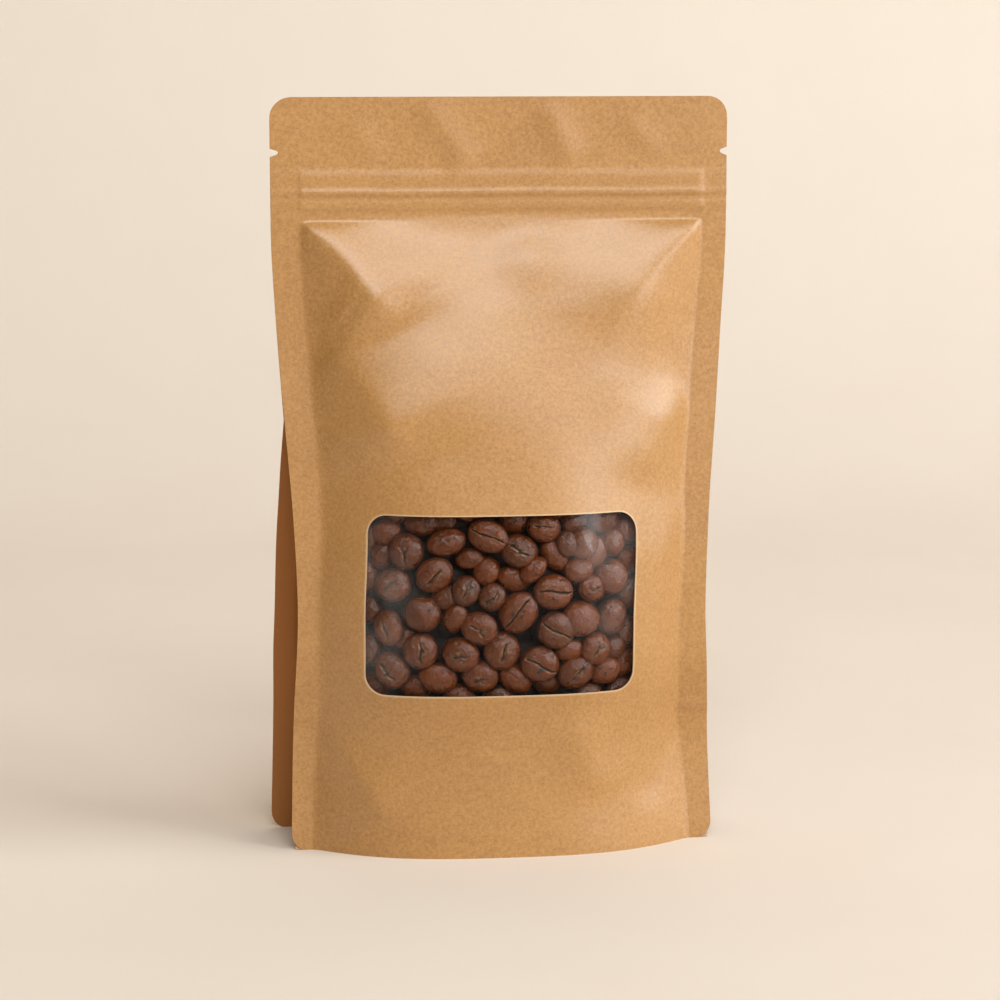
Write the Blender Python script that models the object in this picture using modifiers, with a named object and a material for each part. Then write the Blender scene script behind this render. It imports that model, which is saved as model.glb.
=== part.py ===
"""A stand-up coffee pouch: two kraft walls, a folded web at the bottom and at each side between
them, a zip strip in the flat top, a clear window film and the heap of beans behind it.

Each web of paper is die-cut flat and then formed. A flat web lies in the XZ plane with its outer
face at y = 0 and its thickness along +Y. Forming moves every point to its place on the standing
pouch. The front looks along -Y. Sizes are in millimetres, and MM turns them into metres.
"""

import math

import bmesh
import bpy
from mathutils import Vector

MM = 0.001

# The standing pouch
HEIGHT = 182.3
HALF_WIDTH = 55.0
SEAL = 6.5
CREASE = HALF_WIDTH - SEAL
TOP_CORNER = 5.0
BOTTOM_CORNER = 4.5
WEB = 0.5
GAP = 0.3

# Heights measured down from the top edge
NOTCH_DROP = 13.1
NOTCH_RADIUS = 1.0
NOTCH_DEPTH = 1.8
ZIP_TOP_DROP = 17.2
ZIP_RIDGE_DROP = 22.2
ZIP_GROOVE_DROP = 24.2
ZIP_BOTTOM_DROP = 28.0
SHOULDER_DROP = 29.3
ZIP_THICKNESS = 0.9
ZIP_RIB = 0.25
ZIP_EDGE = 0.6
RIDGE_HALF = 1.0
GROOVE_HALF = 0.8

# The window and its film
WINDOW_WIDTH = 64.9
WINDOW_LOW = 40.4
WINDOW_HIGH = 84.1
WINDOW_SHIFT = -1.8
WINDOW_CORNER = 5.0
FILM = 0.3
FILM_MARGIN = 4.0
FILM_COLUMN = 6.5
FILM_ROW = 8.5

# The bottom gusset: flat in the middle, and a tent that rises towards the sides
GUSSET_RISE = 31.0
GUSSET_FLAT = 22.0
GUSSET_GAP = 0.9

# The side webs, folded inwards between the walls' side seals
SIDE_WEB_TOP = 112.0
SIDE_WEB_FOLD = 5.0
SIDE_WEB_LIFT = 6.2
SIDE_WEB_MARGIN = 0.8

# The heap of beans, narrow over the gusset's folds and rounded at its top
HEAP_LOW = 2.5
HEAP_HIGH = 124.0
HEAP_CLEARANCE = 1.6
HEAP_SIDE_GAP = 3.0
HEAP_OVER_FOLDS = 39.0
HEAP_TOP_ROUND = 30.0
HEAP_CELL = 2.1
HEAP_ROW_BELOW = 7.6
HEAP_ROW_ABOVE = 7.0
BEAN_PITCH = 8.6
BEAN_RADIUS = 6.2
BEAN_RELIEF = 4.2
BEAN_JITTER = 1.2
BEAN_TURN = 2.4

# How finely the webs are divided
WALL_ROW = 9.3
CORNER_STEPS = 6
NOTCH_SIDES = 12
MERGE = 1e-4
PROBE = 0.25

# Side profiles as (height, distance): where a wall's side seal stands, how far its middle swells
# out past the seal, how full that swell is, how wide the seal is, how much of that the right seal
# gains and the left one loses, and how much further to the left the back wall spreads. To the
# right it spreads less, by the share of BACK_SKEW
FRONT_SEAL = ((0, 6.2), (25, 2.9), (50, 6.4), (70, 6.2), (90, 4.3), (110, 2.8), (125, 0.0))
FRONT_SWELL = ((0, 12.4), (33, 14.0), (60, 15.9), (90, 14.0), (110, 12.1), (130, 7.8), (153, 0.0))
BACK_SEAL = ((0, 14.0), (50, 13.0), (70, 10.5), (90, 5.5), (105, 1.5), (115, 0.0))
BACK_SWELL = ((0, 7.0), (33, 8.5), (60, 10.5), (90, 11.6), (110, 10.4), (130, 7.0), (153, 0.0))
FULLNESS = ((0, 3.15), (40, 3.35), (82, 3.15), (110, 2.4), (150, 2.0))
SEAL_WIDTH = ((0, 5.2), (20, 5.8), (33, 6.3), (60, 5.4), (100, 6.9), (150, 6.4))
SEAL_SKEW = ((0, 0.2), (33, 0.7), (57, 0.8), (80, -0.2), (120, -0.1), (150, -0.5))
BACK_SKEW = 0.65
BACK_SPREAD = ((0, 4.2), (33, 4.3), (50, 4.9), (70, 4.3), (90, 2.2), (105, 0.0))


def smooth_profile(points, height):
    """The value at a height on a smooth curve through (height, value) points."""
    heights = [p[0] for p in points]
    if height <= heights[0]:
        return points[0][1]
    if height >= heights[-1]:
        return points[-1][1]
    i = max(k for k, h in enumerate(heights) if h <= height)
    slopes = [(b[1] - a[1]) / (b[0] - a[0]) for a, b in zip(points, points[1:])]

    def tangent(k):
        if k == 0:
            return slopes[0]
        if k == len(slopes):
            return slopes[-1]
        return 0.0 if slopes[k - 1] * slopes[k] <= 0 else (slopes[k - 1] + slopes[k]) / 2

    step = heights[i + 1] - heights[i]
    t = (height - heights[i]) / step
    start, end = points[i][1], points[i + 1][1]
    return (
        (2 * t**3 - 3 * t**2 + 1) * start
        + (t**3 - 2 * t**2 + t) * step * tangent(i)
        + (3 * t**2 - 2 * t**3) * end
        + (t**3 - t**2) * step * tangent(i + 1)
    )


def ramp(value, start, end):
    """0 before start, 1 after end, and smooth between."""
    t = min(max((value - start) / (end - start), 0.0), 1.0)
    return t * t * (3 - 2 * t)


def zip_relief(height):
    """How far the closed zip pushes each wall out at a height."""
    drop = HEIGHT - height
    band = ramp(drop, ZIP_TOP_DROP - ZIP_EDGE, ZIP_TOP_DROP + ZIP_EDGE)
    band -= ramp(drop, ZIP_BOTTOM_DROP - 2 * ZIP_EDGE, ZIP_BOTTOM_DROP + ZIP_EDGE)
    rib = max(0.0, 1 - abs(drop - ZIP_RIDGE_DROP) / RIDGE_HALF)
    groove = max(0.0, 1 - abs(drop - ZIP_GROOVE_DROP) / GROOVE_HALF)
    return ZIP_THICKNESS / 2 * band + ZIP_RIB * (rib - groove)


def seal_width(height, x):
    """The width of the side seal on the side of x."""
    skew = smooth_profile(SEAL_SKEW, height)
    return smooth_profile(SEAL_WIDTH, height) + (skew if x > 0 else -skew)


class Wall:
    """The outer face of one wall of the standing pouch. side is -1 for the front, 1 for the back."""

    def __init__(self, side, seal, swell, spread):
        self.side, self.seal, self.swell, self.spread = side, seal, swell, spread

    def half_width(self, height, x=-1.0):
        """From the middle to the edge on the side of x. The paper that swells out is taken from
        the width."""
        swell = smooth_profile(FRONT_SWELL, height)
        fullness = smooth_profile(FULLNESS, height)
        take_up = fullness**2 / (2 * (2 * fullness - 1)) * swell**2 / CREASE
        share = 1.0 - BACK_SKEW * ramp(x, -CREASE, CREASE)
        return HALF_WIDTH - take_up + share * smooth_profile(self.spread, height)

    def inner_half(self, height, x=-1.0):
        """From the middle to the crease where the side seal starts, on the side of x."""
        return self.half_width(height, math.copysign(CREASE, x)) - seal_width(height, x)

    def reach(self, x, height):
        """The distance of the outer face from the middle plane, at a real x."""
        across = min(abs(x) / self.inner_half(height, x), 1.0)
        swell = smooth_profile(self.swell, height)
        fullness = smooth_profile(FULLNESS, height)
        flat = GAP / 2 + WEB + zip_relief(height)
        return flat + smooth_profile(self.seal, height) + swell * (1 - across**fullness)

    def real_x(self, flat_x, height):
        """Where a point across the flat web ends up, with the seal's crease kept on the crease."""
        inner = self.inner_half(height, flat_x)
        seal_scale = seal_width(height, flat_x) / SEAL
        x = min(abs(flat_x), CREASE) * inner / CREASE + max(abs(flat_x) - CREASE, 0.0) * seal_scale
        return math.copysign(x, flat_x)

    def point(self, flat_x, height, depth=0.0):
        """The formed place of a point of the flat web, depth inside its outer face."""
        return self.inside(self.real_x(flat_x, height), height, depth)

    def inside(self, x, height, depth):
        """A point depth inside the outer face, square to it, from a real x and height."""
        across = (self.reach(x + PROBE, height) - self.reach(x - PROBE, height)) / (2 * PROBE)
        up = (self.reach(x, height + PROBE) - self.reach(x, height - PROBE)) / (2 * PROBE)
        inward = Vector((across, -self.side, up)).normalized()
        place = Vector((x, self.side * self.reach(x, height), height)) + inward * depth
        place.z = max(place.z, 0.0) if height > 0 else 0.0
        return place


FRONT = Wall(-1, FRONT_SEAL, FRONT_SWELL, ((0, 0.0), (HEIGHT, 0.0)))
BACK = Wall(1, BACK_SEAL, BACK_SWELL, BACK_SPREAD)


def middle_shift():
    """How far the pouch moves so that its box is centred over the origin. At the front the film
    stands out furthest, because the window is where the wall does."""
    levels = spread_evenly(0.0, HEIGHT, 1.0)
    across = max(-BACK.real_x(-HALF_WIDTH, z) for z in levels) - HALF_WIDTH
    film_reach = max(FRONT.reach(0, z) for z in levels) - WEB - GAP
    deep = film_reach - max(BACK.reach(0, z) for z in levels)
    return Vector((across / 2, deep / 2, 0.0))


def clear_scene():
    for obj in list(bpy.data.objects):
        bpy.data.objects.remove(obj, do_unlink=True)


def material(name, colour, roughness, alpha=1.0):
    made = bpy.data.materials.new(name)
    made.use_nodes = True
    shader = made.node_tree.nodes["Principled BSDF"]
    shader.inputs["Base Color"].default_value = (*colour, 1.0)
    shader.inputs["Roughness"].default_value = roughness
    shader.inputs["Metallic"].default_value = 0.0
    shader.inputs["Alpha"].default_value = alpha
    return made


def add_object(name, mesh, collection):
    obj = bpy.data.objects.new(name, mesh)
    collection.objects.link(obj)
    return obj


def spread_evenly(start, end, step):
    """Stations from start to end, at most step apart."""
    count = max(1, math.ceil((end - start) / step - 1e-6))
    return [start + (end - start) * i / count for i in range(count + 1)]


def flat_slab(name, columns, rows, thickness, collection):
    """A closed flat web with grid lines at the given columns and rows, its outer face at y = 0."""
    bm = bmesh.new()
    bmesh.ops.create_grid(bm, x_segments=len(columns) - 1, y_segments=len(rows) - 1, size=1.0)
    for vert in bm.verts:
        i = round((vert.co.x + 1) / 2 * (len(columns) - 1))
        j = round((vert.co.y + 1) / 2 * (len(rows) - 1))
        vert.co = (columns[i], 0.0, rows[j])
    mesh = bpy.data.meshes.new(name)
    bm.to_mesh(mesh)
    bm.free()
    slab = add_object(name, mesh, collection)
    solidify = slab.modifiers.new("Thickness", "SOLIDIFY")
    solidify.thickness = thickness
    solidify.offset = -1.0
    return slab


def rounded_outline(name, left, right, low, high, low_radius, high_radius, collection):
    """A prism along Y with a rounded rectangle for its outline, to cut webs with."""
    corners = (
        (right - high_radius, high - high_radius, high_radius, 0),
        (left + high_radius, high - high_radius, high_radius, 90),
        (left + low_radius, low + low_radius, low_radius, 180),
        (right - low_radius, low + low_radius, low_radius, 270),
    )
    outline = []
    for x, z, radius, start in corners:
        for k in range(CORNER_STEPS + 1):
            angle = math.radians(start + 90 * k / CORNER_STEPS)
            outline.append((x + radius * math.cos(angle), z + radius * math.sin(angle)))
    curve = bpy.data.curves.new(name, "CURVE")
    curve.dimensions = "2D"
    curve.fill_mode = "BOTH"
    curve.extrude = 4 * WEB
    spline = curve.splines.new("POLY")
    spline.points.add(len(outline) - 1)
    for point, (x, z) in zip(spline.points, outline):
        point.co = (x, z, 0.0, 1.0)
    spline.use_cyclic_u = True
    guide = add_object(name + "_curve", curve, collection)
    guide.rotation_euler = (math.radians(90), 0, 0)
    bpy.context.view_layer.update()
    graph = bpy.context.evaluated_depsgraph_get()
    mesh = bpy.data.meshes.new_from_object(guide.evaluated_get(graph))
    bm = bmesh.new()
    bm.from_mesh(mesh)
    bmesh.ops.remove_doubles(bm, verts=bm.verts, dist=MERGE)
    bmesh.ops.transform(bm, matrix=guide.matrix_world, verts=bm.verts)
    bmesh.ops.recalc_face_normals(bm, faces=bm.faces)
    bm.to_mesh(mesh)
    bm.free()
    bpy.data.objects.remove(guide, do_unlink=True)
    return as_cutter(add_object(name, mesh, collection))


def notch_cutter(name, x, height, collection):
    """A round pin along Y that nicks the side of a web."""
    mesh = bpy.data.meshes.new(name)
    bm = bmesh.new()
    bmesh.ops.create_cone(
        bm,
        cap_ends=True,
        segments=NOTCH_SIDES,
        radius1=NOTCH_RADIUS,
        radius2=NOTCH_RADIUS,
        depth=8 * WEB,
    )
    for vert in bm.verts:
        vert.co = (vert.co.x + x, vert.co.z, height - vert.co.y)
    bmesh.ops.recalc_face_normals(bm, faces=bm.faces)
    bm.to_mesh(mesh)
    bm.free()
    return as_cutter(add_object(name, mesh, collection))


def as_cutter(obj):
    obj.hide_render = True
    obj.display_type = "WIRE"
    return obj


def cut(slab, cutter, operation):
    boolean = slab.modifiers.new(cutter.name, "BOOLEAN")
    boolean.operation = operation
    boolean.solver = "EXACT"
    boolean.object = cutter


def form(slab, place, finish):
    """Applies the modifiers, splits the faces into triangles and moves every point with place."""
    bpy.context.view_layer.update()
    graph = bpy.context.evaluated_depsgraph_get()
    mesh = bpy.data.meshes.new_from_object(slab.evaluated_get(graph))
    bm = bmesh.new()
    bm.from_mesh(mesh)
    bmesh.ops.remove_doubles(bm, verts=bm.verts, dist=MERGE)
    bmesh.ops.triangulate(bm, faces=bm.faces)
    shift = middle_shift()
    for vert in bm.verts:
        vert.co = (place(vert.co.x, vert.co.y, vert.co.z) + shift) * MM
    if bm.calc_volume(signed=True) < 0:
        bmesh.ops.reverse_faces(bm, faces=bm.faces)
    bm.to_mesh(mesh)
    bm.free()
    slab.modifiers.clear()
    slab.data = mesh
    mesh.name = slab.name
    mesh.shade_smooth()
    mesh.set_sharp_from_angle(angle=math.radians(30))
    mesh.materials.clear()
    mesh.materials.append(finish)
    return slab


def wall_columns():
    """Grid columns of a flat wall: close together by the seal lines, where the paper turns."""
    half = [0, 10, 20, 28, 35, 40, 43.5, 46.3, CREASE, HALF_WIDTH + 1]
    return [-x for x in reversed(half[1:])] + half


def wall_rows():
    """Grid rows of a flat wall: even steps below the shoulder, and a row at each line of the zip."""
    shoulder = HEIGHT - SHOULDER_DROP
    rows = [-1.0] + spread_evenly(BOTTOM_CORNER, shoulder, WALL_ROW)
    rows += [HEIGHT - ZIP_BOTTOM_DROP + d for d in (0.0, 2 * ZIP_EDGE)]
    rows += [HEIGHT - ZIP_GROOVE_DROP + d for d in (-GROOVE_HALF, 0.0)]
    rows += [HEIGHT - ZIP_RIDGE_DROP + d for d in (-RIDGE_HALF, 0.0, RIDGE_HALF)]
    rows += [HEIGHT - ZIP_TOP_DROP + d for d in (-ZIP_EDGE, ZIP_EDGE)]
    rows += [HEIGHT - NOTCH_DROP, HEIGHT + 1.0]
    return rows


def make_wall(name, wall, finish, parts, cutters):
    """A wall cut flat to its outline, with its tear notches, and formed. The web lies with its
    outer face at y = 0, so depth into the wall is y."""
    slab = flat_slab(name, wall_columns(), wall_rows(), WEB, parts)
    cut(
        slab,
        rounded_outline(
            name + "_outline", -HALF_WIDTH, HALF_WIDTH, 0, HEIGHT, BOTTOM_CORNER, TOP_CORNER, cutters
        ),
        "INTERSECT",
    )
    for side in (-1, 1):
        centre = side * (HALF_WIDTH - NOTCH_DEPTH + NOTCH_RADIUS)
        pin = notch_cutter(f"{name}_notch_{side}", centre, HEIGHT - NOTCH_DROP, cutters)
        cut(slab, pin, "DIFFERENCE")
    if wall is FRONT:
        half = WINDOW_WIDTH / 2
        cut(
            slab,
            rounded_outline(
                "window_cut",
                flat_from_real(WINDOW_SHIFT - half),
                flat_from_real(WINDOW_SHIFT + half),
                WINDOW_LOW,
                WINDOW_HIGH,
                WINDOW_CORNER,
                WINDOW_CORNER,
                cutters,
            ),
            "DIFFERENCE",
        )
    return form(slab, lambda x, y, z: wall.point(x, z, y), finish)


def flat_from_real(x):
    """The place across the flat front web of a real x at the window's middle height."""
    return x * CREASE / FRONT.inner_half((WINDOW_LOW + WINDOW_HIGH) / 2)


def make_window_film(finish, parts):
    """The clear sheet glued behind the window, wider than the opening all round."""
    half = WINDOW_WIDTH / 2 + FILM_MARGIN
    left, right = flat_from_real(WINDOW_SHIFT - half), flat_from_real(WINDOW_SHIFT + half)
    columns = spread_evenly(left, right, FILM_COLUMN)
    rows = spread_evenly(WINDOW_LOW - FILM_MARGIN, WINDOW_HIGH + FILM_MARGIN, FILM_ROW)
    slab = flat_slab("window_film", columns, rows, FILM, parts)
    behind = WEB + GAP
    return form(slab, lambda x, y, z: FRONT.point(x, z, behind + y), finish)


def make_zip_strip(finish, parts):
    """The closed press-to-close strip between the walls, with a rib under the walls' ridge."""
    ridge = HEIGHT - ZIP_RIDGE_DROP
    low = HEIGHT - ZIP_BOTTOM_DROP + RIDGE_HALF + ZIP_EDGE
    high = HEIGHT - ZIP_TOP_DROP - RIDGE_HALF
    rows = [low, ridge - RIDGE_HALF, ridge, ridge + RIDGE_HALF, high]
    slab = flat_slab("zip_strip", spread_evenly(-CREASE, CREASE, CREASE / 2), rows, ZIP_THICKNESS, parts)

    def place(x, y, z):
        rib = ZIP_RIB if abs(z - ridge) < RIDGE_HALF / 2 else 0.0
        thickness = ZIP_THICKNESS / 2 - GAP / 2 + rib
        outward = -1 if y < ZIP_THICKNESS / 2 else 1
        return Vector((x, outward * thickness, z))

    return form(slab, place, finish)


def gusset_height(x, across):
    """The folded gusset: flat in the middle and a tent towards each side. across runs from -1 at
    the front wall to 1 at the back wall."""
    rise = min(max((abs(x) - GUSSET_FLAT) / (CREASE - GUSSET_FLAT), 0.0), 1.0)
    return GUSSET_RISE * rise * (1 - abs(across))


def gusset_point(x, across):
    """A point of the gusset's underside, from its share of the pouch's width and depth."""
    margin = WEB + GUSSET_GAP
    height = gusset_height(x, across)
    real_x = FRONT.real_x(x, height)
    front = FRONT.inside(real_x, height, margin).y
    back = BACK.inside(real_x, height, margin).y
    y = front + (back - front) * (across + 1) / 2
    return Vector((real_x, y, height))


def make_gusset(finish, parts):
    """The bottom web, folded up between the walls towards the sides."""
    half = [0, 11, GUSSET_FLAT, 29, 36, 43, CREASE, HALF_WIDTH - GUSSET_GAP]
    columns = [-x for x in reversed(half[1:])] + half
    rows = spread_evenly(-1.0, 1.0, 0.2)
    slab = flat_slab("bottom_gusset", columns, rows, WEB, parts)

    def place(x, y, z):
        lift = Vector((0, 0, WEB)) if y > WEB / 2 else Vector((0, 0, 0))
        return gusset_point(x, z) + lift

    return form(slab, place, finish)


def make_side_web(name, side, finish, parts):
    """The web that closes one side between the walls, folded inwards and standing on the tent of
    the bottom web. side is -1 for the left."""
    slab = flat_slab(name, spread_evenly(-1.0, 1.0, 0.5), spread_evenly(0.0, 1.0, 0.125), WEB, parts)
    wall_margin = WEB + GUSSET_GAP

    def place(x, y, z):
        low = SIDE_WEB_LIFT + gusset_height(CREASE, x)
        height = low + (SIDE_WEB_TOP - low) * z
        edge = min(FRONT.half_width(height), BACK.half_width(height, side * CREASE)) - SIDE_WEB_MARGIN
        folded = edge - SIDE_WEB_FOLD * (1 - abs(x)) - y
        front = -FRONT.reach(HALF_WIDTH, height) + wall_margin
        back = BACK.reach(HALF_WIDTH, height) - wall_margin
        return Vector((side * folded, front + (back - front) * (x + 1) / 2, height))

    return form(slab, place, finish)


def bean_centres():
    """Middles of the beans against a wall: offset rows, each moved a little by a fixed rule."""
    centres = []
    row_step = BEAN_PITCH * math.sqrt(3) / 2
    columns = math.ceil(HALF_WIDTH / BEAN_PITCH) + 1
    for j in range(math.ceil(HEIGHT / row_step)):
        for i in range(-columns, columns + 1):
            turn = BEAN_TURN * (i * i + 3 * i + 5 * j * j)
            x = (i + 0.5 * (j % 2)) * BEAN_PITCH + BEAN_JITTER * math.cos(turn)
            centres.append((x, j * row_step + BEAN_JITTER * math.sin(turn)))
    return centres


def make_heap(finish, parts):
    """The beans as one solid out to their uneven outline: it fills the pouch between the walls,
    above the gusset's folds, with a round bean at each place where one touches a wall."""
    centres = bean_centres()
    inner = FRONT.inner_half((WINDOW_LOW + WINDOW_HIGH) / 2) - HEAP_SIDE_GAP
    left = (WINDOW_SHIFT - WINDOW_WIDTH / 2) / inner
    right = (WINDOW_SHIFT + WINDOW_WIDTH / 2) / inner
    fine = spread_evenly(left, right, HEAP_CELL / inner)
    columns = [-1.0, (left - 1) / 2] + fine + [(right + 1) / 2, 1.0]
    rows = spread_evenly(HEAP_LOW, WINDOW_LOW, HEAP_ROW_BELOW)[:-1]
    rows += spread_evenly(WINDOW_LOW, WINDOW_HIGH, HEAP_CELL)
    rows += spread_evenly(WINDOW_HIGH, HEAP_HIGH, HEAP_ROW_ABOVE)[1:]
    slab = flat_slab("coffee_beans", columns, rows, 1.0, parts)

    def relief(x, z):
        distance = min(math.hypot(x - cx, z - cz) for cx, cz in centres)
        bulge = math.sqrt(max(BEAN_RADIUS**2 - distance**2, 0.0))
        return min(BEAN_RADIUS - bulge, BEAN_RELIEF)

    def half_span(z):
        """Half the heap's width: cut back over the gusset's folds, and rounded at the top."""
        narrow = GUSSET_FLAT - HEAP_SIDE_GAP
        over_folds = narrow + (inner - narrow) * min(z / HEAP_OVER_FOLDS, 1.0)
        into_top = max(z - HEAP_HIGH + HEAP_TOP_ROUND, 0.0) / HEAP_TOP_ROUND
        return over_folds * math.sqrt(1 - 0.6 * into_top**2)

    def place(x, y, z):
        real_x = x * half_span(z)
        wall = FRONT if y < 0.5 else BACK
        return wall.inside(real_x, z, HEAP_CLEARANCE + relief(real_x, z))

    return form(slab, place, finish)


def main():
    clear_scene()
    parts = bpy.data.collections.new("coffee_bag")
    cutters = bpy.data.collections.new("cutters")
    for collection in (parts, cutters):
        bpy.context.scene.collection.children.link(collection)
    kraft = material("kraft paper", (0.52, 0.31, 0.15), 0.8)
    plastic = material("zip plastic", (0.75, 0.72, 0.66), 0.4)
    film = material("window film", (0.9, 0.92, 0.94), 0.1, alpha=0.2)
    roast = material("roasted beans", (0.09, 0.03, 0.012), 0.5)
    make_wall("front_panel", FRONT, kraft, parts, cutters)
    make_wall("back_panel", BACK, kraft, parts, cutters)
    make_gusset(kraft, parts)
    make_side_web("side_web_left", -1, kraft, parts)
    make_side_web("side_web_right", 1, kraft, parts)
    make_zip_strip(plastic, parts)
    make_window_film(film, parts)
    make_heap(roast, parts)
    for cutter in list(cutters.objects):
        bpy.data.objects.remove(cutter, do_unlink=True)


if __name__ == "__main__":
    main()
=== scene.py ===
"""The looks of a stand-up kraft coffee pouch: creased paper walls, a pressed zip band, folded
bottom and side webs, a clear window film and the roasted beans that lie against it.

The frame's coordinates are in metres. Everything below is worked out in millimetres on the
pouch's own middle plane, and to_row turns it into the frame's metres. The front looks along -Y.
"""

import logging
import math
from contextlib import contextmanager
from dataclasses import dataclass, field
from enum import Enum
from typing import Any, Iterator, Sequence

import bpy
import numpy as np
from mathutils import Matrix, Vector, noise


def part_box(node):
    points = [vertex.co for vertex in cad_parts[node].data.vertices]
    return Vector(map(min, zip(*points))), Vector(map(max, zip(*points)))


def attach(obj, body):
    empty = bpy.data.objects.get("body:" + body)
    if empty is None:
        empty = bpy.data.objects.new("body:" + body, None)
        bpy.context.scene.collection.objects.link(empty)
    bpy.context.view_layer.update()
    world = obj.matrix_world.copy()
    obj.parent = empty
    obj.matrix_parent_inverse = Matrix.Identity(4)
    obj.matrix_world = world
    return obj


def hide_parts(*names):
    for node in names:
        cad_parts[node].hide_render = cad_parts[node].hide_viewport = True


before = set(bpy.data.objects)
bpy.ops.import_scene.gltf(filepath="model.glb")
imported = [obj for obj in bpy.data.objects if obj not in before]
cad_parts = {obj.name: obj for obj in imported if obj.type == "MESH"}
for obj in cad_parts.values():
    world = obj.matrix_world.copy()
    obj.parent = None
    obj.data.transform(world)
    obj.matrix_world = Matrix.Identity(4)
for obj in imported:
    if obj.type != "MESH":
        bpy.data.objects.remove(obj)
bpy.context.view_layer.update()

BODY = "root"
MM = 0.001

LOG = logging.getLogger("coffee_pouch")

Array = np.ndarray
Point = tuple[float, float]
Object = bpy.types.Object
Material = bpy.types.Material
Socket = bpy.types.NodeSocket


# ---- Shape helpers ----


def ramp(value: Array, start: float, end: float) -> Array:
    """0 before start, 1 after end, and smooth between."""
    t = np.clip((value - start) / (end - start), 0.0, 1.0)
    return t * t * (3 - 2 * t)


def to_row(points: Array, middle: Vector) -> Array:
    """Millimetres on the pouch's middle plane, as metres in the frame."""
    return points * MM + np.array((middle.x, middle.y, 0.0))


@dataclass(frozen=True)
class Profile:
    """A distance over the height, on a smooth curve through a few (height, distance) points."""

    points: tuple[Point, ...]

    def at(self, height: Array) -> Array:
        """Read the curve.

        Args:
            height: Heights above the floor, in millimetres.

        Returns:
            The distance at each height, held at its end values beyond the ends.
        """
        heights, values = np.array(self.points, float).T
        steps = np.diff(heights)
        slopes = np.diff(values) / steps
        tangents = np.empty_like(values)
        tangents[0], tangents[-1] = slopes[0], slopes[-1]
        turns = slopes[:-1] * slopes[1:] <= 0
        tangents[1:-1] = np.where(turns, 0.0, (slopes[:-1] + slopes[1:]) / 2)
        clipped = np.clip(height, heights[0], heights[-1])
        i = np.clip(np.searchsorted(heights, clipped, side="right") - 1, 0, len(steps) - 1)
        t = (clipped - heights[i]) / steps[i]
        return (
            (2 * t**3 - 3 * t**2 + 1) * values[i]
            + (t**3 - 2 * t**2 + t) * steps[i] * tangents[i]
            + (3 * t**2 - 2 * t**3) * values[i + 1]
            + (t**3 - t**2) * steps[i] * tangents[i + 1]
        )


@dataclass(frozen=True)
class Crease:
    """A fold line in a web, with a flat flank that falls away to each side of it.

    The route runs through two or three (x, height) points. height is how far the line stands out,
    less than nothing for a valley. left and right are the flanks' widths beside the direction of
    the route, and a flank of no width runs down to the side seal, as the facets of a filled pouch
    do. tip rounds the line itself, fades are the lengths over which it comes up at its start and
    dies away at its end, and ease lets it die away towards the seal.
    """

    route: tuple[Point, ...]
    height: float
    left: float
    right: float
    tip: float = 0.6
    fades: Point = (4.0, 8.0)
    ease: float = 5.0
    curve_points: int = 9

    def samples(self) -> list[Point]:
        """Points along the route, on a parabola where it has three points.

        Returns:
            The (x, height) points.
        """
        if len(self.route) == 2:
            return list(self.route)
        start, middle, end = (np.array(p) for p in self.route)
        control = 2 * middle - (start + end) / 2
        steps = np.linspace(0.0, 1.0, self.curve_points)[:, None]
        curve = (1 - steps) ** 2 * start + 2 * steps * (1 - steps) * control + steps**2 * end
        return [tuple(p) for p in curve]

    def relief(self, x: Array, z: Array, to_edge: Array) -> Array:
        """Work out how far the crease moves the web outwards.

        Args:
            x: Places across the web, in millimetres.
            z: Heights of the same points.
            to_edge: Distances of the same points from the side seal or the shoulder.

        Returns:
            The movement of each point, in millimetres.
        """
        points = self.samples()
        nearest = np.full(x.shape, np.inf)
        along = np.zeros(x.shape)
        side = np.ones(x.shape)
        walked = 0.0
        for (ax, az), (bx, bz) in zip(points, points[1:]):
            length = math.hypot(bx - ax, bz - az)
            ux, uz = (bx - ax) / length, (bz - az) / length
            t = (x - ax) * ux + (z - az) * uz
            held = np.clip(t, 0.0, length)
            distance = np.hypot(x - ax - held * ux, z - az - held * uz)
            nearer = distance < nearest
            nearest = np.where(nearer, distance, nearest)
            along = np.where(nearer, walked + t, along)
            side = np.where(nearer, ux * (z - az) - uz * (x - ax), side)
            walked += length
        off = np.sqrt(nearest**2 + self.tip**2) - self.tip
        fall = np.zeros(x.shape)
        for width, here in ((self.left, side > 0), (self.right, side <= 0)):
            if width:
                share = np.clip(1 - off / width, 0.0, 1.0)
                flank = share**2 * to_edge / (to_edge + self.ease)
            else:
                flank = to_edge / (to_edge + off + self.ease)
            fall = np.where(here, flank, fall)
        started = ramp(along, 0.0, self.fades[0])
        fade = started * (1 - ramp(along, walked - self.fades[1], walked))
        return self.height * fall * fade


@dataclass(frozen=True)
class Dent:
    """A soft hollow, or a swelling where its depth is less than nothing, pressed into a web."""

    x: float
    z: float
    depth: float
    wide: float
    high: float
    turn: float = 0.0

    def relief(self, x: Array, z: Array, to_edge: Array) -> Array:
        """Work out how far the dent moves the web outwards, wherever the seal is.

        Args:
            x: Places across the web, in millimetres.
            z: Heights of the same points.
            to_edge: Not used: a dent ignores the seal.

        Returns:
            The movement of each point, in millimetres.
        """
        c, s = math.cos(math.radians(self.turn)), math.sin(math.radians(self.turn))
        across = (x - self.x) * c + (z - self.z) * s
        up = (z - self.z) * c - (x - self.x) * s
        return -self.depth * np.exp(-((across / self.wide) ** 2) - (up / self.high) ** 2)


Fold = Crease | Dent
NO_EDGE = 1000.0


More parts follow.
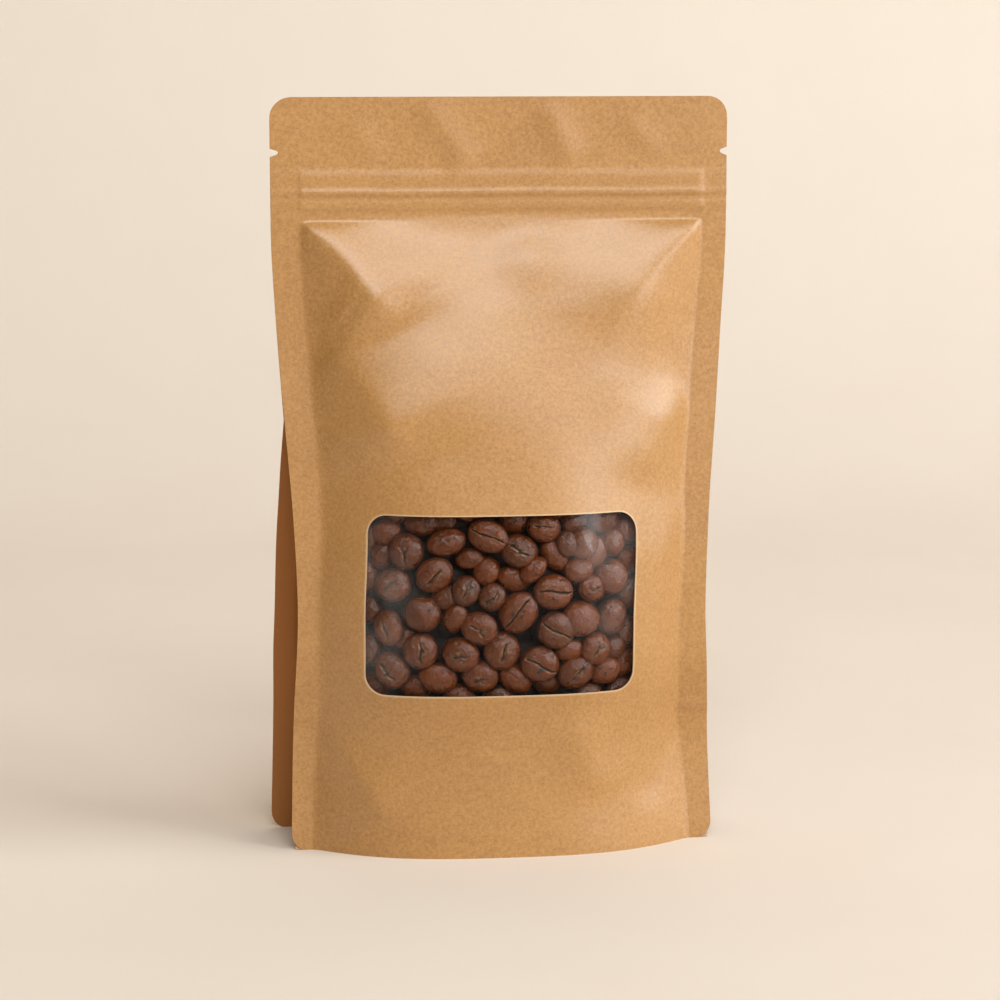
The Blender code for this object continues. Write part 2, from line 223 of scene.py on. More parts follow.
def total_relief(folds: Sequence[Fold], x: Array, z: Array, to_edge: Array | float) -> Array:
    """Add up the relief of several folds.

    Args:
        folds: The folds and dents.
        x: Places across the web, in millimetres.
        z: Heights of the same points.
        to_edge: Distances from the seal, or NO_EDGE for folds that ignore it.

    Returns:
        The movement of each point outwards, in millimetres.
    """
    edges = np.broadcast_to(to_edge, x.shape)
    return sum((fold.relief(x, z, edges) for fold in folds), np.zeros(x.shape))


def stations(kept: Sequence[float], cell: float, fine: float, reach: float) -> Array:
    """Grid lines that pass through the kept ones and crowd together beside them.

    Args:
        kept: Lines that the grid has to have, in order.
        cell: The spacing far from every kept line.
        fine: The spacing beside a kept line.
        reach: The distance over which the spacing grows from fine to cell.

    Returns:
        The places of all the lines.
    """
    lines = [kept[0]]
    fixed = np.array(kept)
    for start, end in zip(kept, kept[1:]):
        probe = np.linspace(start, end, 200)
        distance = np.abs(probe[:, None] - fixed[None, :]).min(axis=1)
        density = 1 / (fine + (cell - fine) * np.clip(distance / reach, 0.0, 1.0))
        gained = (density[1:] + density[:-1]) / 2 * np.diff(probe)
        grown = np.concatenate(([0.0], np.cumsum(gained)))
        count = max(1, round(float(grown[-1])))
        lines += list(np.interp(np.arange(1, count + 1) / count * grown[-1], grown, probe))
    return np.array(lines)


# ---- The pouch's form ----


class Side(Enum):
    """The two walls of the pouch, by the direction in which each one looks."""

    FRONT = -1
    BACK = 1


@dataclass(frozen=True)
class PouchSizes:
    """The driving sizes of the standing pouch, in millimetres."""

    height: float
    half_width: float = 55.0
    seal: float = 6.5
    top_corner: float = 5.0
    bottom_corner: float = 4.5
    paper: float = 0.3
    film: float = 0.1
    shoulder_drop: float = 29.3
    window_width: float = 64.9
    window_low: float = 40.4
    window_high: float = 84.1
    window_shift: float = -1.8
    window_corner: float = 5.0
    film_margin: float = 4.0
    gusset_rise: float = 31.0
    gusset_flat: float = 22.0
    side_web_top: float = 112.0
    side_web_fold: float = 5.0

    @property
    def crease(self) -> float:
        """The flat distance from the middle to the crease where the side seal starts."""
        return self.half_width - self.seal

    @property
    def window_middle(self) -> Point:
        """The middle of the window, as x and height."""
        return self.window_shift, (self.window_low + self.window_high) / 2


@dataclass(frozen=True)
class ZipBand:
    """The band that the closed zip presses into both walls, by drops from the top edge."""

    top: float = 17.2
    rib_start: float = 21.2
    rib_top: float = 22.8
    rib_end: float = 23.6
    groove: float = 24.1
    groove_width: float = 0.45
    bottom: float = 27.2
    thickness: float = 0.42
    rib: float = 0.36
    groove_depth: float = 0.2
    stray: float = 0.09

    def wave(self, x: Array) -> Array:
        """How far the band strays from a straight line at places across the wall."""
        return self.stray * (np.sin(x / 8.5 + 0.6) + 0.5 * np.sin(x / 3.1))

    def relief(self, drop: Array) -> Array:
        """Work out how far the zip pushes a wall out.

        Args:
            drop: Distances below the top edge, in millimetres.

        Returns:
            The movement at each drop.
        """
        started = ramp(drop, self.top - 0.8, self.top + 1.9)
        band = started - ramp(drop, self.bottom - 1.4, self.bottom + 0.6)
        rising = ramp(drop, self.rib_start, self.rib_top)
        rib = rising * (1 - ramp(drop, self.rib_top, self.rib_end))
        groove = np.exp(-(((drop - self.groove) / self.groove_width) ** 2))
        return self.thickness * band + self.rib * rib - self.groove_depth * groove


# How far each wall's middle swells out from its side seals
SWELL_FRONT = Profile((
    (0, 12.4), (33, 14.0), (60, 15.9), (80, 15.1), (95, 13.9), (108, 12.3), (122, 9.7),
    (134, 6.8), (143, 3.8), (150, 1.1), (154.5, 0.0),
))
SWELL_BACK = Profile((
    (0, 7.0), (33, 8.5), (60, 10.5), (90, 11.6), (110, 10.4), (130, 7.0), (153, 0.0),
))
# How far each wall's side seals stand from the middle plane
SEAL_FRONT = Profile((
    (0, 6.2), (25, 2.9), (50, 6.4), (70, 6.2), (90, 4.3), (104, 3.0), (118, 1.2), (128, 0.2),
    (136, 0.0),
))
SEAL_BACK = Profile(((0, 14.0), (50, 13.0), (70, 10.5), (90, 5.5), (105, 1.5), (115, 0.0)))
# The power that bends the body's section, larger where the middle is flatter
FULLNESS = Profile(((0, 3.15), (40, 3.35), (82, 3.15), (110, 2.4), (150, 2.0)))
# The side seals' width, and what the right one gains on it and the left one loses
SEAL_WIDTH = Profile(((0, 5.2), (20, 5.8), (33, 6.3), (60, 5.4), (100, 6.9), (150, 6.4)))
SEAL_SKEW = Profile(((0, 0.2), (33, 0.7), (57, 0.8), (80, -0.2), (120, -0.1), (150, -0.5)))
# How much further each wall spreads, and the share of it that the right side lacks
SPREAD_FRONT = Profile(((0, 0.0), (150, 0.0)))
SPREAD_BACK = Profile(((0, 4.2), (33, 4.3), (50, 4.9), (70, 4.3), (90, 2.2), (105, 0.0)))
SPREAD_SKEW = 0.65


@dataclass(frozen=True)
class WallForm:
    """The outer face of one wall of the filled pouch, with all its folds and dents."""

    side: Side
    sizes: PouchSizes
    zip_band: ZipBand
    swell: Profile
    seal: Profile
    spread: Profile
    folds: tuple[Fold, ...] = ()
    seal_folds: tuple[Fold, ...] = ()
    inner_half_gap: float = 0.65
    probe: float = 0.2
    seam_round: float = 1.8
    zip_fade: float = 0.8

    def half_width(self, z: Array, x: Array) -> Array:
        """From the middle to the edge on the side of x. What swells out is taken from the width.

        Args:
            z: Heights, in millimetres.
            x: Places whose sign gives the side.

        Returns:
            The half width at each height.
        """
        fullness = FULLNESS.at(z)
        bend = fullness**2 / (2 * (2 * fullness - 1))
        take_up = bend * SWELL_FRONT.at(z) ** 2 / self.sizes.crease
        share = 1.0 - SPREAD_SKEW * (np.sign(x) > 0)
        return self.sizes.half_width - take_up + share * self.spread.at(z)

    def seal_width(self, z: Array, x: Array) -> Array:
        """The width of the side seal on the side of x."""
        return SEAL_WIDTH.at(z) + SEAL_SKEW.at(z) * np.where(x > 0, 1.0, -1.0)

    def inner_half(self, z: Array, x: Array) -> Array:
        """From the middle to the crease where the side seal starts, on the side of x."""
        return self.half_width(z, x) - self.seal_width(z, x)

    def reach(self, x: Array, z: Array) -> Array:
        """Work out how far the wall's outer face stands from the middle plane.

        Args:
            x: Real places across the wall, in millimetres.
            z: Heights of the same points.

        Returns:
            The distance of the outer face at each point.
        """
        inner = self.inner_half(z, x)
        inside_seal = inner - np.abs(x)
        to_seal = np.maximum(inside_seal, 0.0)
        rise = to_seal**2 / (to_seal + self.seam_round)
        across = 1.0 - rise / inner
        drop = self.sizes.height - z
        # The zip shows half as much on the side seals as between them
        zip_share = 0.5 + 0.5 * ramp(inside_seal, -self.zip_fade, self.zip_fade)
        pressed = self.zip_band.relief(drop + self.zip_band.wave(x)) * zip_share
        to_edge = np.clip(drop - self.sizes.shoulder_drop, 0.0, to_seal)
        moved = total_relief(self.folds, x, z, to_edge)
        moved += total_relief(self.seal_folds, x, z, NO_EDGE)
        swell = self.swell.at(z) * (1 - across ** FULLNESS.at(z))
        return self.inner_half_gap + pressed + self.seal.at(z) + swell + moved

    def real_x(self, flat_x: Array, z: Array) -> Array:
        """Where a point across the flat web ends up, with the seal's crease kept on the crease.

        Args:
            flat_x: Places across the flat web, in millimetres.
            z: Heights of the same points.

        Returns:
            The places across the formed wall.
        """
        crease = self.sizes.crease
        inner = self.inner_half(z, flat_x)
        seal_scale = self.seal_width(z, flat_x) / self.sizes.seal
        size = np.abs(flat_x)
        x = np.minimum(size, crease) * inner / crease + np.maximum(size - crease, 0.0) * seal_scale
        return np.copysign(x, flat_x)

    def face(self, x: Array, z: Array) -> Array:
        """Points of the outer face at real places x and heights z."""
        return np.stack((x, self.side.value * self.reach(x, z), z), axis=-1)

    def normal(self, x: Array, z: Array) -> Array:
        """The direction out of the wall at real places x and heights z.

        Args:
            x: Real places across the wall.
            z: Heights of the same points.

        Returns:
            A unit vector for each point.
        """
        step = self.probe
        across = (self.reach(x + step, z) - self.reach(x - step, z)) / (2 * step)
        up = (self.reach(x, z + step) - self.reach(x, z - step)) / (2 * step)
        out = np.stack((-across, np.full(x.shape, float(self.side.value)), -up), axis=-1)
        return out / np.linalg.norm(out, axis=-1, keepdims=True)

    def inside(self, x: Array, z: Array, depth: float | Array) -> Array:
        """Find points square behind the outer face.

        Args:
            x: Real places across the wall, in millimetres.
            z: Heights of the same points.
            depth: How far behind the outer face, in millimetres.

        Returns:
            The points as rows of x, y and z.
        """
        behind = np.reshape(depth, (-1, 1) if np.ndim(depth) else ())
        return self.face(x, z) - self.normal(x, z) * behind


# ---- Meshes ----


def pick(*objects: Object) -> None:
    """Select only these objects, in object mode, and make the first one active.

    Args:
        *objects: What to select, or nothing at all.
    """
    if bpy.context.object and bpy.context.object.mode != "OBJECT":
        bpy.ops.object.mode_set(mode="OBJECT")
    bpy.ops.object.select_all(action="DESELECT")
    for obj in objects:
        obj.select_set(True)
    if objects:
        bpy.context.view_layer.objects.active = objects[0]


@contextmanager
def editing(obj: Object) -> Iterator[None]:
    """Go into edit mode on one object, and leave it after the work.

    Args:
        obj: The object to work on.

    Returns:
        A context for a with statement.
    """
    pick(obj)
    bpy.ops.object.mode_set(mode="EDIT")
    yield
    bpy.ops.object.mode_set(mode="OBJECT")


def coordinates(obj: Object) -> Array:
    """The places of a mesh's vertices, one row for each.

    Args:
        obj: The mesh object.

    Returns:
        Rows of x, y and z.
    """
    flat = np.empty(len(obj.data.vertices) * 3)
    obj.data.vertices.foreach_get("co", flat)
    return flat.reshape(-1, 3)


def move_to(obj: Object, points: Array) -> None:
    """Put a mesh's vertices at these places."""
    obj.data.vertices.foreach_set("co", points.astype(np.float32).ravel())
    obj.data.update()


def write_attribute(obj: Object, name: str, values: Array) -> None:
    """Store a number on each vertex, for the materials to read."""
    attribute = obj.data.attributes.get(name) or obj.data.attributes.new(name, "FLOAT", "POINT")
    attribute.data.foreach_set("value", values.astype(np.float32))


def apply_modifier(obj: Object, kind: str, **settings: Any) -> None:
    """Add a modifier with these settings and apply it.

    Args:
        obj: The object that gets it.
        kind: Blender's name for the type of modifier.
        **settings: The modifier's own properties.
    """
    pick(obj)
    modifier = obj.modifiers.new(kind.title(), kind)
    for key, value in settings.items():
        setattr(modifier, key, value)
    bpy.ops.object.modifier_apply(modifier=modifier.name)


def smooth(obj: Object, angle: float) -> None:
    """Shade an object smooth, but for edges that turn by more than angle degrees."""
    pick(obj)
    bpy.ops.object.shade_smooth_by_angle(angle=math.radians(angle))


def flat_blank(name: str, columns: Array, rows: Array) -> Object:
    """Lay out a flat upright web with grid lines where they are asked for.

    Args:
        name: The object's name.
        columns: Places of the upright grid lines, left to right.
        rows: Heights of the level grid lines, lowest first.

    Returns:
        The web, a grid in the XZ plane that looks along -Y.
    """
    pick()
    bpy.ops.mesh.primitive_grid_add(
        x_subdivisions=len(columns) - 1,
        y_subdivisions=len(rows) - 1,
        size=2.0,
        rotation=(math.radians(90), 0.0, 0.0),
    )
    blank = bpy.context.object
    blank.name = blank.data.name = name
    bpy.ops.object.transform_apply(location=True, rotation=True, scale=True)
    points = coordinates(blank)
    i = np.rint((points[:, 0] + 1) / 2 * (len(columns) - 1)).astype(int)
    j = np.rint((points[:, 2] + 1) / 2 * (len(rows) - 1)).astype(int)
    move_to(blank, np.stack((columns[i], np.zeros(len(i)), rows[j]), axis=-1))
    return blank


def divided_cube(name: str, size: float, cuts: int) -> Object:
    """Make a cube whose faces are divided into a grid.

    Args:
        name: The object's name.
        size: The length of an edge.
        cuts: Cuts across each face.

    Returns:
        The cube, round the origin.
    """
    pick()
    bpy.ops.mesh.primitive_cube_add(size=size)
    cube = bpy.context.object
    cube.name = cube.data.name = name
    with editing(cube):
        bpy.ops.mesh.subdivide(number_cuts=cuts)
    return cube


def flip(obj: Object) -> None:
    """Turn all the faces of an object round.

    Args:
        obj: The mesh object.
    """
    with editing(obj):
        bpy.ops.mesh.select_all(action="SELECT")
        bpy.ops.mesh.flip_normals()


def rounded(
    x: Array, z: Array, corner: Point, toward: Point, radius: float, fade: float
) -> tuple[Array, Array]:
    """Round one corner of a grid by drawing its square rings in to arcs.

    Args:
        x: Places across.
        z: Heights.
        corner: The sharp corner, as x and height.
        toward: Signs of x and height on the way from the arc's centre to the corner.
        radius: The arc's radius.
        fade: How far past the arc the rings take to become square again.

    Returns:
        The new places and heights.
    """
    cx, cz = corner[0] - toward[0] * radius, corner[1] - toward[1] * radius
    u, v = (x - cx) * toward[0], (z - cz) * toward[1]
    ring = np.maximum(u, v)
    round_share = np.where((u > 0) & (v > 0), 1 - ramp(ring, radius, radius + fade), 0.0)
    scale = 1 + (ring / np.maximum(np.hypot(u, v), 1e-9) - 1) * round_share
    return cx + u * scale * toward[0], cz + v * scale * toward[1]


def finish_piece(obj: Object, finish: Material, slot: str, *nodes: str) -> None:
    """Dress a piece, let it ride on the pouch and hide the CAD nodes that it replaces.

    Args:
        obj: The finished piece.
        finish: Its material.
        slot: Not used.
        *nodes: The CAD nodes that it replaces.
    """
    obj.data.materials.clear()
    obj.data.materials.append(finish)
    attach(obj, BODY)
    if nodes:
        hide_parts(*nodes)
    LOG.info("%s: %d faces", obj.name, len(obj.data.polygons))


# ---- Materials ----


def linear(colour: str) -> tuple[float, float, float, float]:
    """An sRGB hex colour as linear numbers, with full opacity.

    Args:
        colour: Such as #A97939.

    Returns:
        Red, green, blue and alpha.
    """
    parts = [int(colour[i : i + 2], 16) / 255 for i in (1, 3, 5)]
    red, green, blue = (c / 12.92 if c <= 0.04045 else ((c + 0.055) / 1.055) ** 2.4 for c in parts)
    return red, green, blue, 1.0


def add_node(
    tree: bpy.types.NodeTree, kind: str, inputs: dict[str | int, Any], **options: Any
) -> bpy.types.Node:
    """Add a node with its settings and links.

    Args:
        tree: The material's node tree.
        kind: The node's type, without the leading ShaderNode.
        inputs: A number, an sRGB hex colour or a feeding socket for each of its inputs.
        **options: The node's own properties.

    Returns:
        The new node.
    """
    node = tree.nodes.new("ShaderNode" + kind)
    for key, value in options.items():
        setattr(node, key, value)
    fill_inputs(tree, node, inputs)
    return node


def fill_inputs(tree: bpy.types.NodeTree, node: bpy.types.Node, inputs: dict[Any, Any]) -> None:
    """Set or link the inputs of a node.

    Args:
        tree: The material's node tree.
        node: The node.
        inputs: A number, an sRGB hex colour or a feeding socket for each input.
    """
    for key, value in inputs.items():
        if isinstance(value, Socket):
            tree.links.new(value, node.inputs[key])
        else:
            node.inputs[key].default_value = linear(value) if isinstance(value, str) else value


class Recipe:
    """A new material and the kinds of node that the finishes share. Sizes are in millimetres."""

    def __init__(self, name: str) -> None:
        """Start the material, by the finish's plain name.

        Args:
            name: Such as kraft_paper.
        """
        self.material = bpy.data.materials.new(name)
        self.material.use_nodes = True
        self.tree = self.material.node_tree
        self.place = add_node(self.tree, "TexCoord", {}).outputs["Object"]

    def stretched(self, scale: tuple[float, float, float]) -> Socket:
        """Object coordinates scaled along each axis."""
        inputs = {"Scale": scale, "Vector": self.place}
        return add_node(self.tree, "Mapping", inputs).outputs[0]

    def noise(self, size: float, place: Socket | None = None, **values: float) -> Socket:
        """Noise with spots about size across, with the node's other values by name.

        Args:
            size: The size of its spots.
            place: Coordinates to use for the Object ones.
            **values: Such as detail and roughness.

        Returns:
            The noise, about 0.5.
        """
        inputs = {"Scale": 1 / (size * MM), "Vector": place or self.place}
        inputs |= {key.capitalize(): value for key, value in values.items()}
        return add_node(self.tree, "TexNoise", inputs).outputs[0]

    def remap(self, value: Socket, low: float, high: float, *to: float) -> Socket:
        """Stretch low to high over 0 to 1, or over the two numbers in to."""
        inputs = {0: value, 1: low, 2: high} | dict(zip((3, 4), to))
        return add_node(self.tree, "MapRange", inputs).outputs[0]

    def math(self, operation: str, *terms: Socket | float, clamp: bool = False) -> Socket:
        """One sum on numbers or sockets."""
        inputs = dict(enumerate(terms))
        return add_node(self.tree, "Math", inputs, operation=operation, use_clamp=clamp).outputs[0]

    def attribute(self, name: str) -> Socket:
        """A number that is stored on the mesh."""
        return add_node(self.tree, "Attribute", {}, attribute_name=name).outputs["Fac"]

    def mix(self, factor: Socket | float, first: Socket | str, second: Socket | str) -> Socket:
        """The first colour where factor is 0, the second where it is 1."""
        inputs = {0: factor, 6: first, 7: second}
        return add_node(self.tree, "Mix", inputs, data_type="RGBA").outputs[2]

    def bump(self, height: Socket, strength: float, depth: float, **more: Socket) -> Socket:
        """A bump of the given depth, over the Normal in more if there is one."""
        inputs = {"Strength": strength, "Distance": depth * MM, "Height": height} | more
        return add_node(self.tree, "Bump", inputs).outputs[0]

    def finished(self, inputs: dict[str, Any]) -> Material:
        """The material, with these inputs on its Principled shader."""
        fill_inputs(self.tree, self.tree.nodes["Principled BSDF"], inputs)
        return self.material


@dataclass(frozen=True)
class KraftPaper:
    """Unbleached kraft, calendered: tan, finely mottled, soft satin, with painted shade inside."""

    name: str = "kraft_paper_uncoated"
    tan: str = "#A97939"
    deep: str = "#93652B"
    pale: str = "#BF8F52"
    fibre: str = "#765023"
    cut_edge: str = "#E3CBA8"
    inner_painted_shade: str = "#9C5C12"
    clouds_mm: float = 26.0
    mottle_mm: float = 0.8
    fibre_mm: float = 0.35
    grain_mm: float = 0.6
    grain_depth_mm: float = 0.03
    tan_share: float = 0.6
    spot_share: float = 0.6
    fibre_share: float = 0.35
    roughness: float = 0.4

    def build(self) -> Material:
        """Make the material. Its cut edge and its inner face are attributes of the mesh.

        Returns:
            The material.
        """
        paper = Recipe(self.name)
        # Soft clouds of darker and paler pulp, a few centimetres across
        clouds = paper.noise(self.clouds_mm, detail=4.0, roughness=0.6)
        # The mottle of the calendered sheet, about a millimetre across
        mottle = paper.noise(self.mottle_mm, detail=4.0, roughness=0.8)
        # Fibres lie mostly across the web: the noise is drawn out five times along X
        drawn_out = paper.stretched((0.2, 1.0, 1.0))
        fibres = paper.noise(self.fibre_mm, drawn_out, detail=3.0, roughness=0.6)
        base = paper.mix(paper.remap(clouds, 0.35, 0.65), self.deep, self.pale)
        base = paper.mix(self.tan_share, base, self.tan)
        spotted = paper.mix(paper.remap(mottle, 0.36, 0.64), self.deep, self.pale)
        base = paper.mix(self.spot_share, base, spotted)
        lines = paper.math("MULTIPLY", paper.remap(fibres, 0.60, 0.72), self.fibre_share)
        base = paper.mix(lines, base, self.fibre)
        inner = paper.attribute("inner")
        # Painted shade: the inner face turns a deep orange brown, as it lies in shade inside the
        # pouch
        base = paper.mix(inner, base, self.inner_painted_shade)
        base = paper.mix(paper.attribute("rim"), base, self.cut_edge)
        # The calendered face is a little shinier where the pulp is dense, the inner one is matt
        shine = paper.remap(mottle, 0.0, 1.0, self.roughness - 0.07, self.roughness + 0.09)
        grain = paper.noise(self.grain_mm, detail=3.0)
        return paper.finished({
            "Base Color": base,
            "Roughness": paper.math("MULTIPLY_ADD", inner, 0.5, shine, clamp=True),
            "Normal": paper.bump(grain, 0.35, self.grain_depth_mm),
            "Specular IOR Level": 1.0,
        })


@dataclass(frozen=True)
class RoastedBean:
    """Medium-roast coffee: reddish brown, satin with oil, darker in its wrinkles, painted shade in
    its crease.
    """

    name: str = "roasted_coffee"
    brown: str = "#6A3002"
    dark: str = "#2B1100"
    ruddy: str = "#8C4004"
    chaff: str = "#B78E66"
    crack_and_painted_shade: str = "#120804"
    wrinkle_mm: float = 1.7
    pore_mm: float = 0.4
    split_mm: float = 4.5
    pore_depth_mm: float = 0.06
    wrinkle_depth_mm: float = 0.65
    roughness: float = 0.16

    def build(self) -> Material:
        """Make the material. Each bean's tone, chaff, and painted crease and back shade are
        attributes.

        Returns:
            The material.
        """
        bean = Recipe(self.name)
        # Roasting shrinks the skin into soft wrinkles, a millimetre or two apart
        wrinkles = bean.noise(self.wrinkle_mm, detail=4.0, roughness=0.6, distortion=0.3)
        # The skin's pores, drawn a little coarse so that they show
        pores = bean.noise(self.pore_mm, detail=3.0)
        patch = bean.remap(wrinkles, 0.2, 0.56, 0.25, 1.0)
        base = bean.mix(patch, self.dark, self.brown)
        base = bean.mix(bean.math("MULTIPLY", bean.attribute("tone"), patch), base, self.ruddy)
        base = bean.mix(bean.remap(pores, 0.3, 0.7, 0.0, 0.5), base, self.dark)
        # Hairline cracks where the skin split: the noise's middle level, broken by the wrinkles
        splits = bean.noise(self.split_mm, detail=2.0, distortion=0.6)
        off_level = bean.math("ABSOLUTE", bean.math("SUBTRACT", splits, 0.5))
        hairline = bean.remap(off_level, 0.004, 0.016, 1.0, 0.0)
        crack = bean.math("MULTIPLY", hairline, bean.remap(wrinkles, 0.46, 0.54))
        crease = bean.attribute("crease")
        base = bean.mix(bean.attribute("chaff"), base, self.chaff)
        base = bean.mix(crack, base, self.crack_and_painted_shade)
        # Painted shade: the crease attribute darkens the cuts, the beans' backs and the hidden core
        base = bean.mix(crease, base, self.crack_and_painted_shade)
        # No gloss in the cracks, nor in the shade behind the front row
        shine = bean.remap(wrinkles, 0.0, 1.0, self.roughness + 0.16, self.roughness - 0.08)
        fine = bean.bump(pores, 0.6, self.pore_depth_mm)
        return bean.finished({
            "Base Color": base,
            "Roughness": bean.math("MULTIPLY_ADD", crease, 0.6, shine, clamp=True),
            "Normal": bean.bump(wrinkles, 1.0, self.wrinkle_depth_mm, Normal=fine),
            "Specular IOR Level": 0.6,
        })


@dataclass(frozen=True)
class ClearFilm:
    """Clear polypropylene film: nearly all see-through, glossy, a little cloudy, with painted
    reflections.
    """

    name: str = "clear_polypropylene_film"
    tint: str = "#0E1012"
    cloudy_and_reflection_colour: str = "#ABABAA"
    ripple_mm: float = 14.0
    ripple_depth_mm: float = 0.5
    patch_mm: float = 9.0
    body: float = 0.09
    roughness: float = 0.12
    refraction: float = 1.5

    def build(self) -> Material:
        """Make the material, with low ripples, centimetres long.

        Returns:
            The material.
        """
        film = Recipe(self.name)
        ripples = film.noise(self.ripple_mm, detail=1.0)
        # Cloudy patches with painted reflection: an attribute, broken up over centimetres
        patches = film.remap(film.noise(self.patch_mm, detail=3.0), 0.36, 0.66, 0.2, 1.0)
        share = film.math("MULTIPLY", film.attribute("cloudy_painted_reflection"), patches)
        return film.finished({
            "Base Color": film.mix(share, self.tint, self.cloudy_and_reflection_colour),
            "Roughness": self.roughness,
            "IOR": self.refraction,
            "Specular IOR Level": 0.5,
            "Alpha": self.body,
            "Normal": film.bump(ripples, 0.5, self.ripple_depth_mm),
        })


@dataclass(frozen=True)
class ZipPlastic:
    """Low-density polyethylene, extruded: milky, soft and slightly waxy."""

    name: str = "polyethylene_zip"
    milk: str = "#E4DFD2"
    shade: str = "#CFC8B8"
    line_mm: float = 0.4

    def build(self) -> Material:
        """Make the material, with faint lines along the extrusion.

        Returns:
            The material.
        """
        plastic = Recipe(self.name)
        lines = plastic.noise(self.line_mm, plastic.stretched((0.02, 1.0, 1.0)))
        return plastic.finished({
            "Base Color": plastic.mix(lines, self.milk, self.shade),
            "Roughness": 0.45,
        })


@dataclass(frozen=True)
class StudioPaper:
    """The seamless cream paper sweep that the pouch stands on."""

    name: str = "cream_paper_sweep"
    cream: str = "#E6DDD3"
    shade: str = "#E2D8CC"
    mottle_mm: float = 60.0

    def build(self) -> Material:
        """Make the material, matt, with a very faint mottle."""
        paper = Recipe(self.name)
        return paper.finished({
            "Base Color": paper.mix(paper.noise(self.mottle_mm), self.cream, self.shade),
            "Roughness": 0.9,
            "Specular IOR Level": 0.1,
        })


# ---- The pouch's pieces ----


@dataclass
class Sheet:
    """A sheet of the pouch that stands in for one CAD node."""

    node: str
    middle: Vector

    def build(self) -> Object:
        """Model the sheet."""
        raise NotImplementedError

    def dress(self, finish: Material, slot: str = "kraft_paper") -> None:
        """Build the sheet and give it its finish."""
        finish_piece(self.build(), finish, slot, self.node)

    def thicken(self, blank: Object, thickness: float, angle: float, offset: float = -1.0) -> None:
        """Give the formed sheet its thickness in millimetres, and shade it smooth up to angle."""
        apply_modifier(blank, "SOLIDIFY", thickness=thickness * MM, offset=offset)
        smooth(blank, angle)


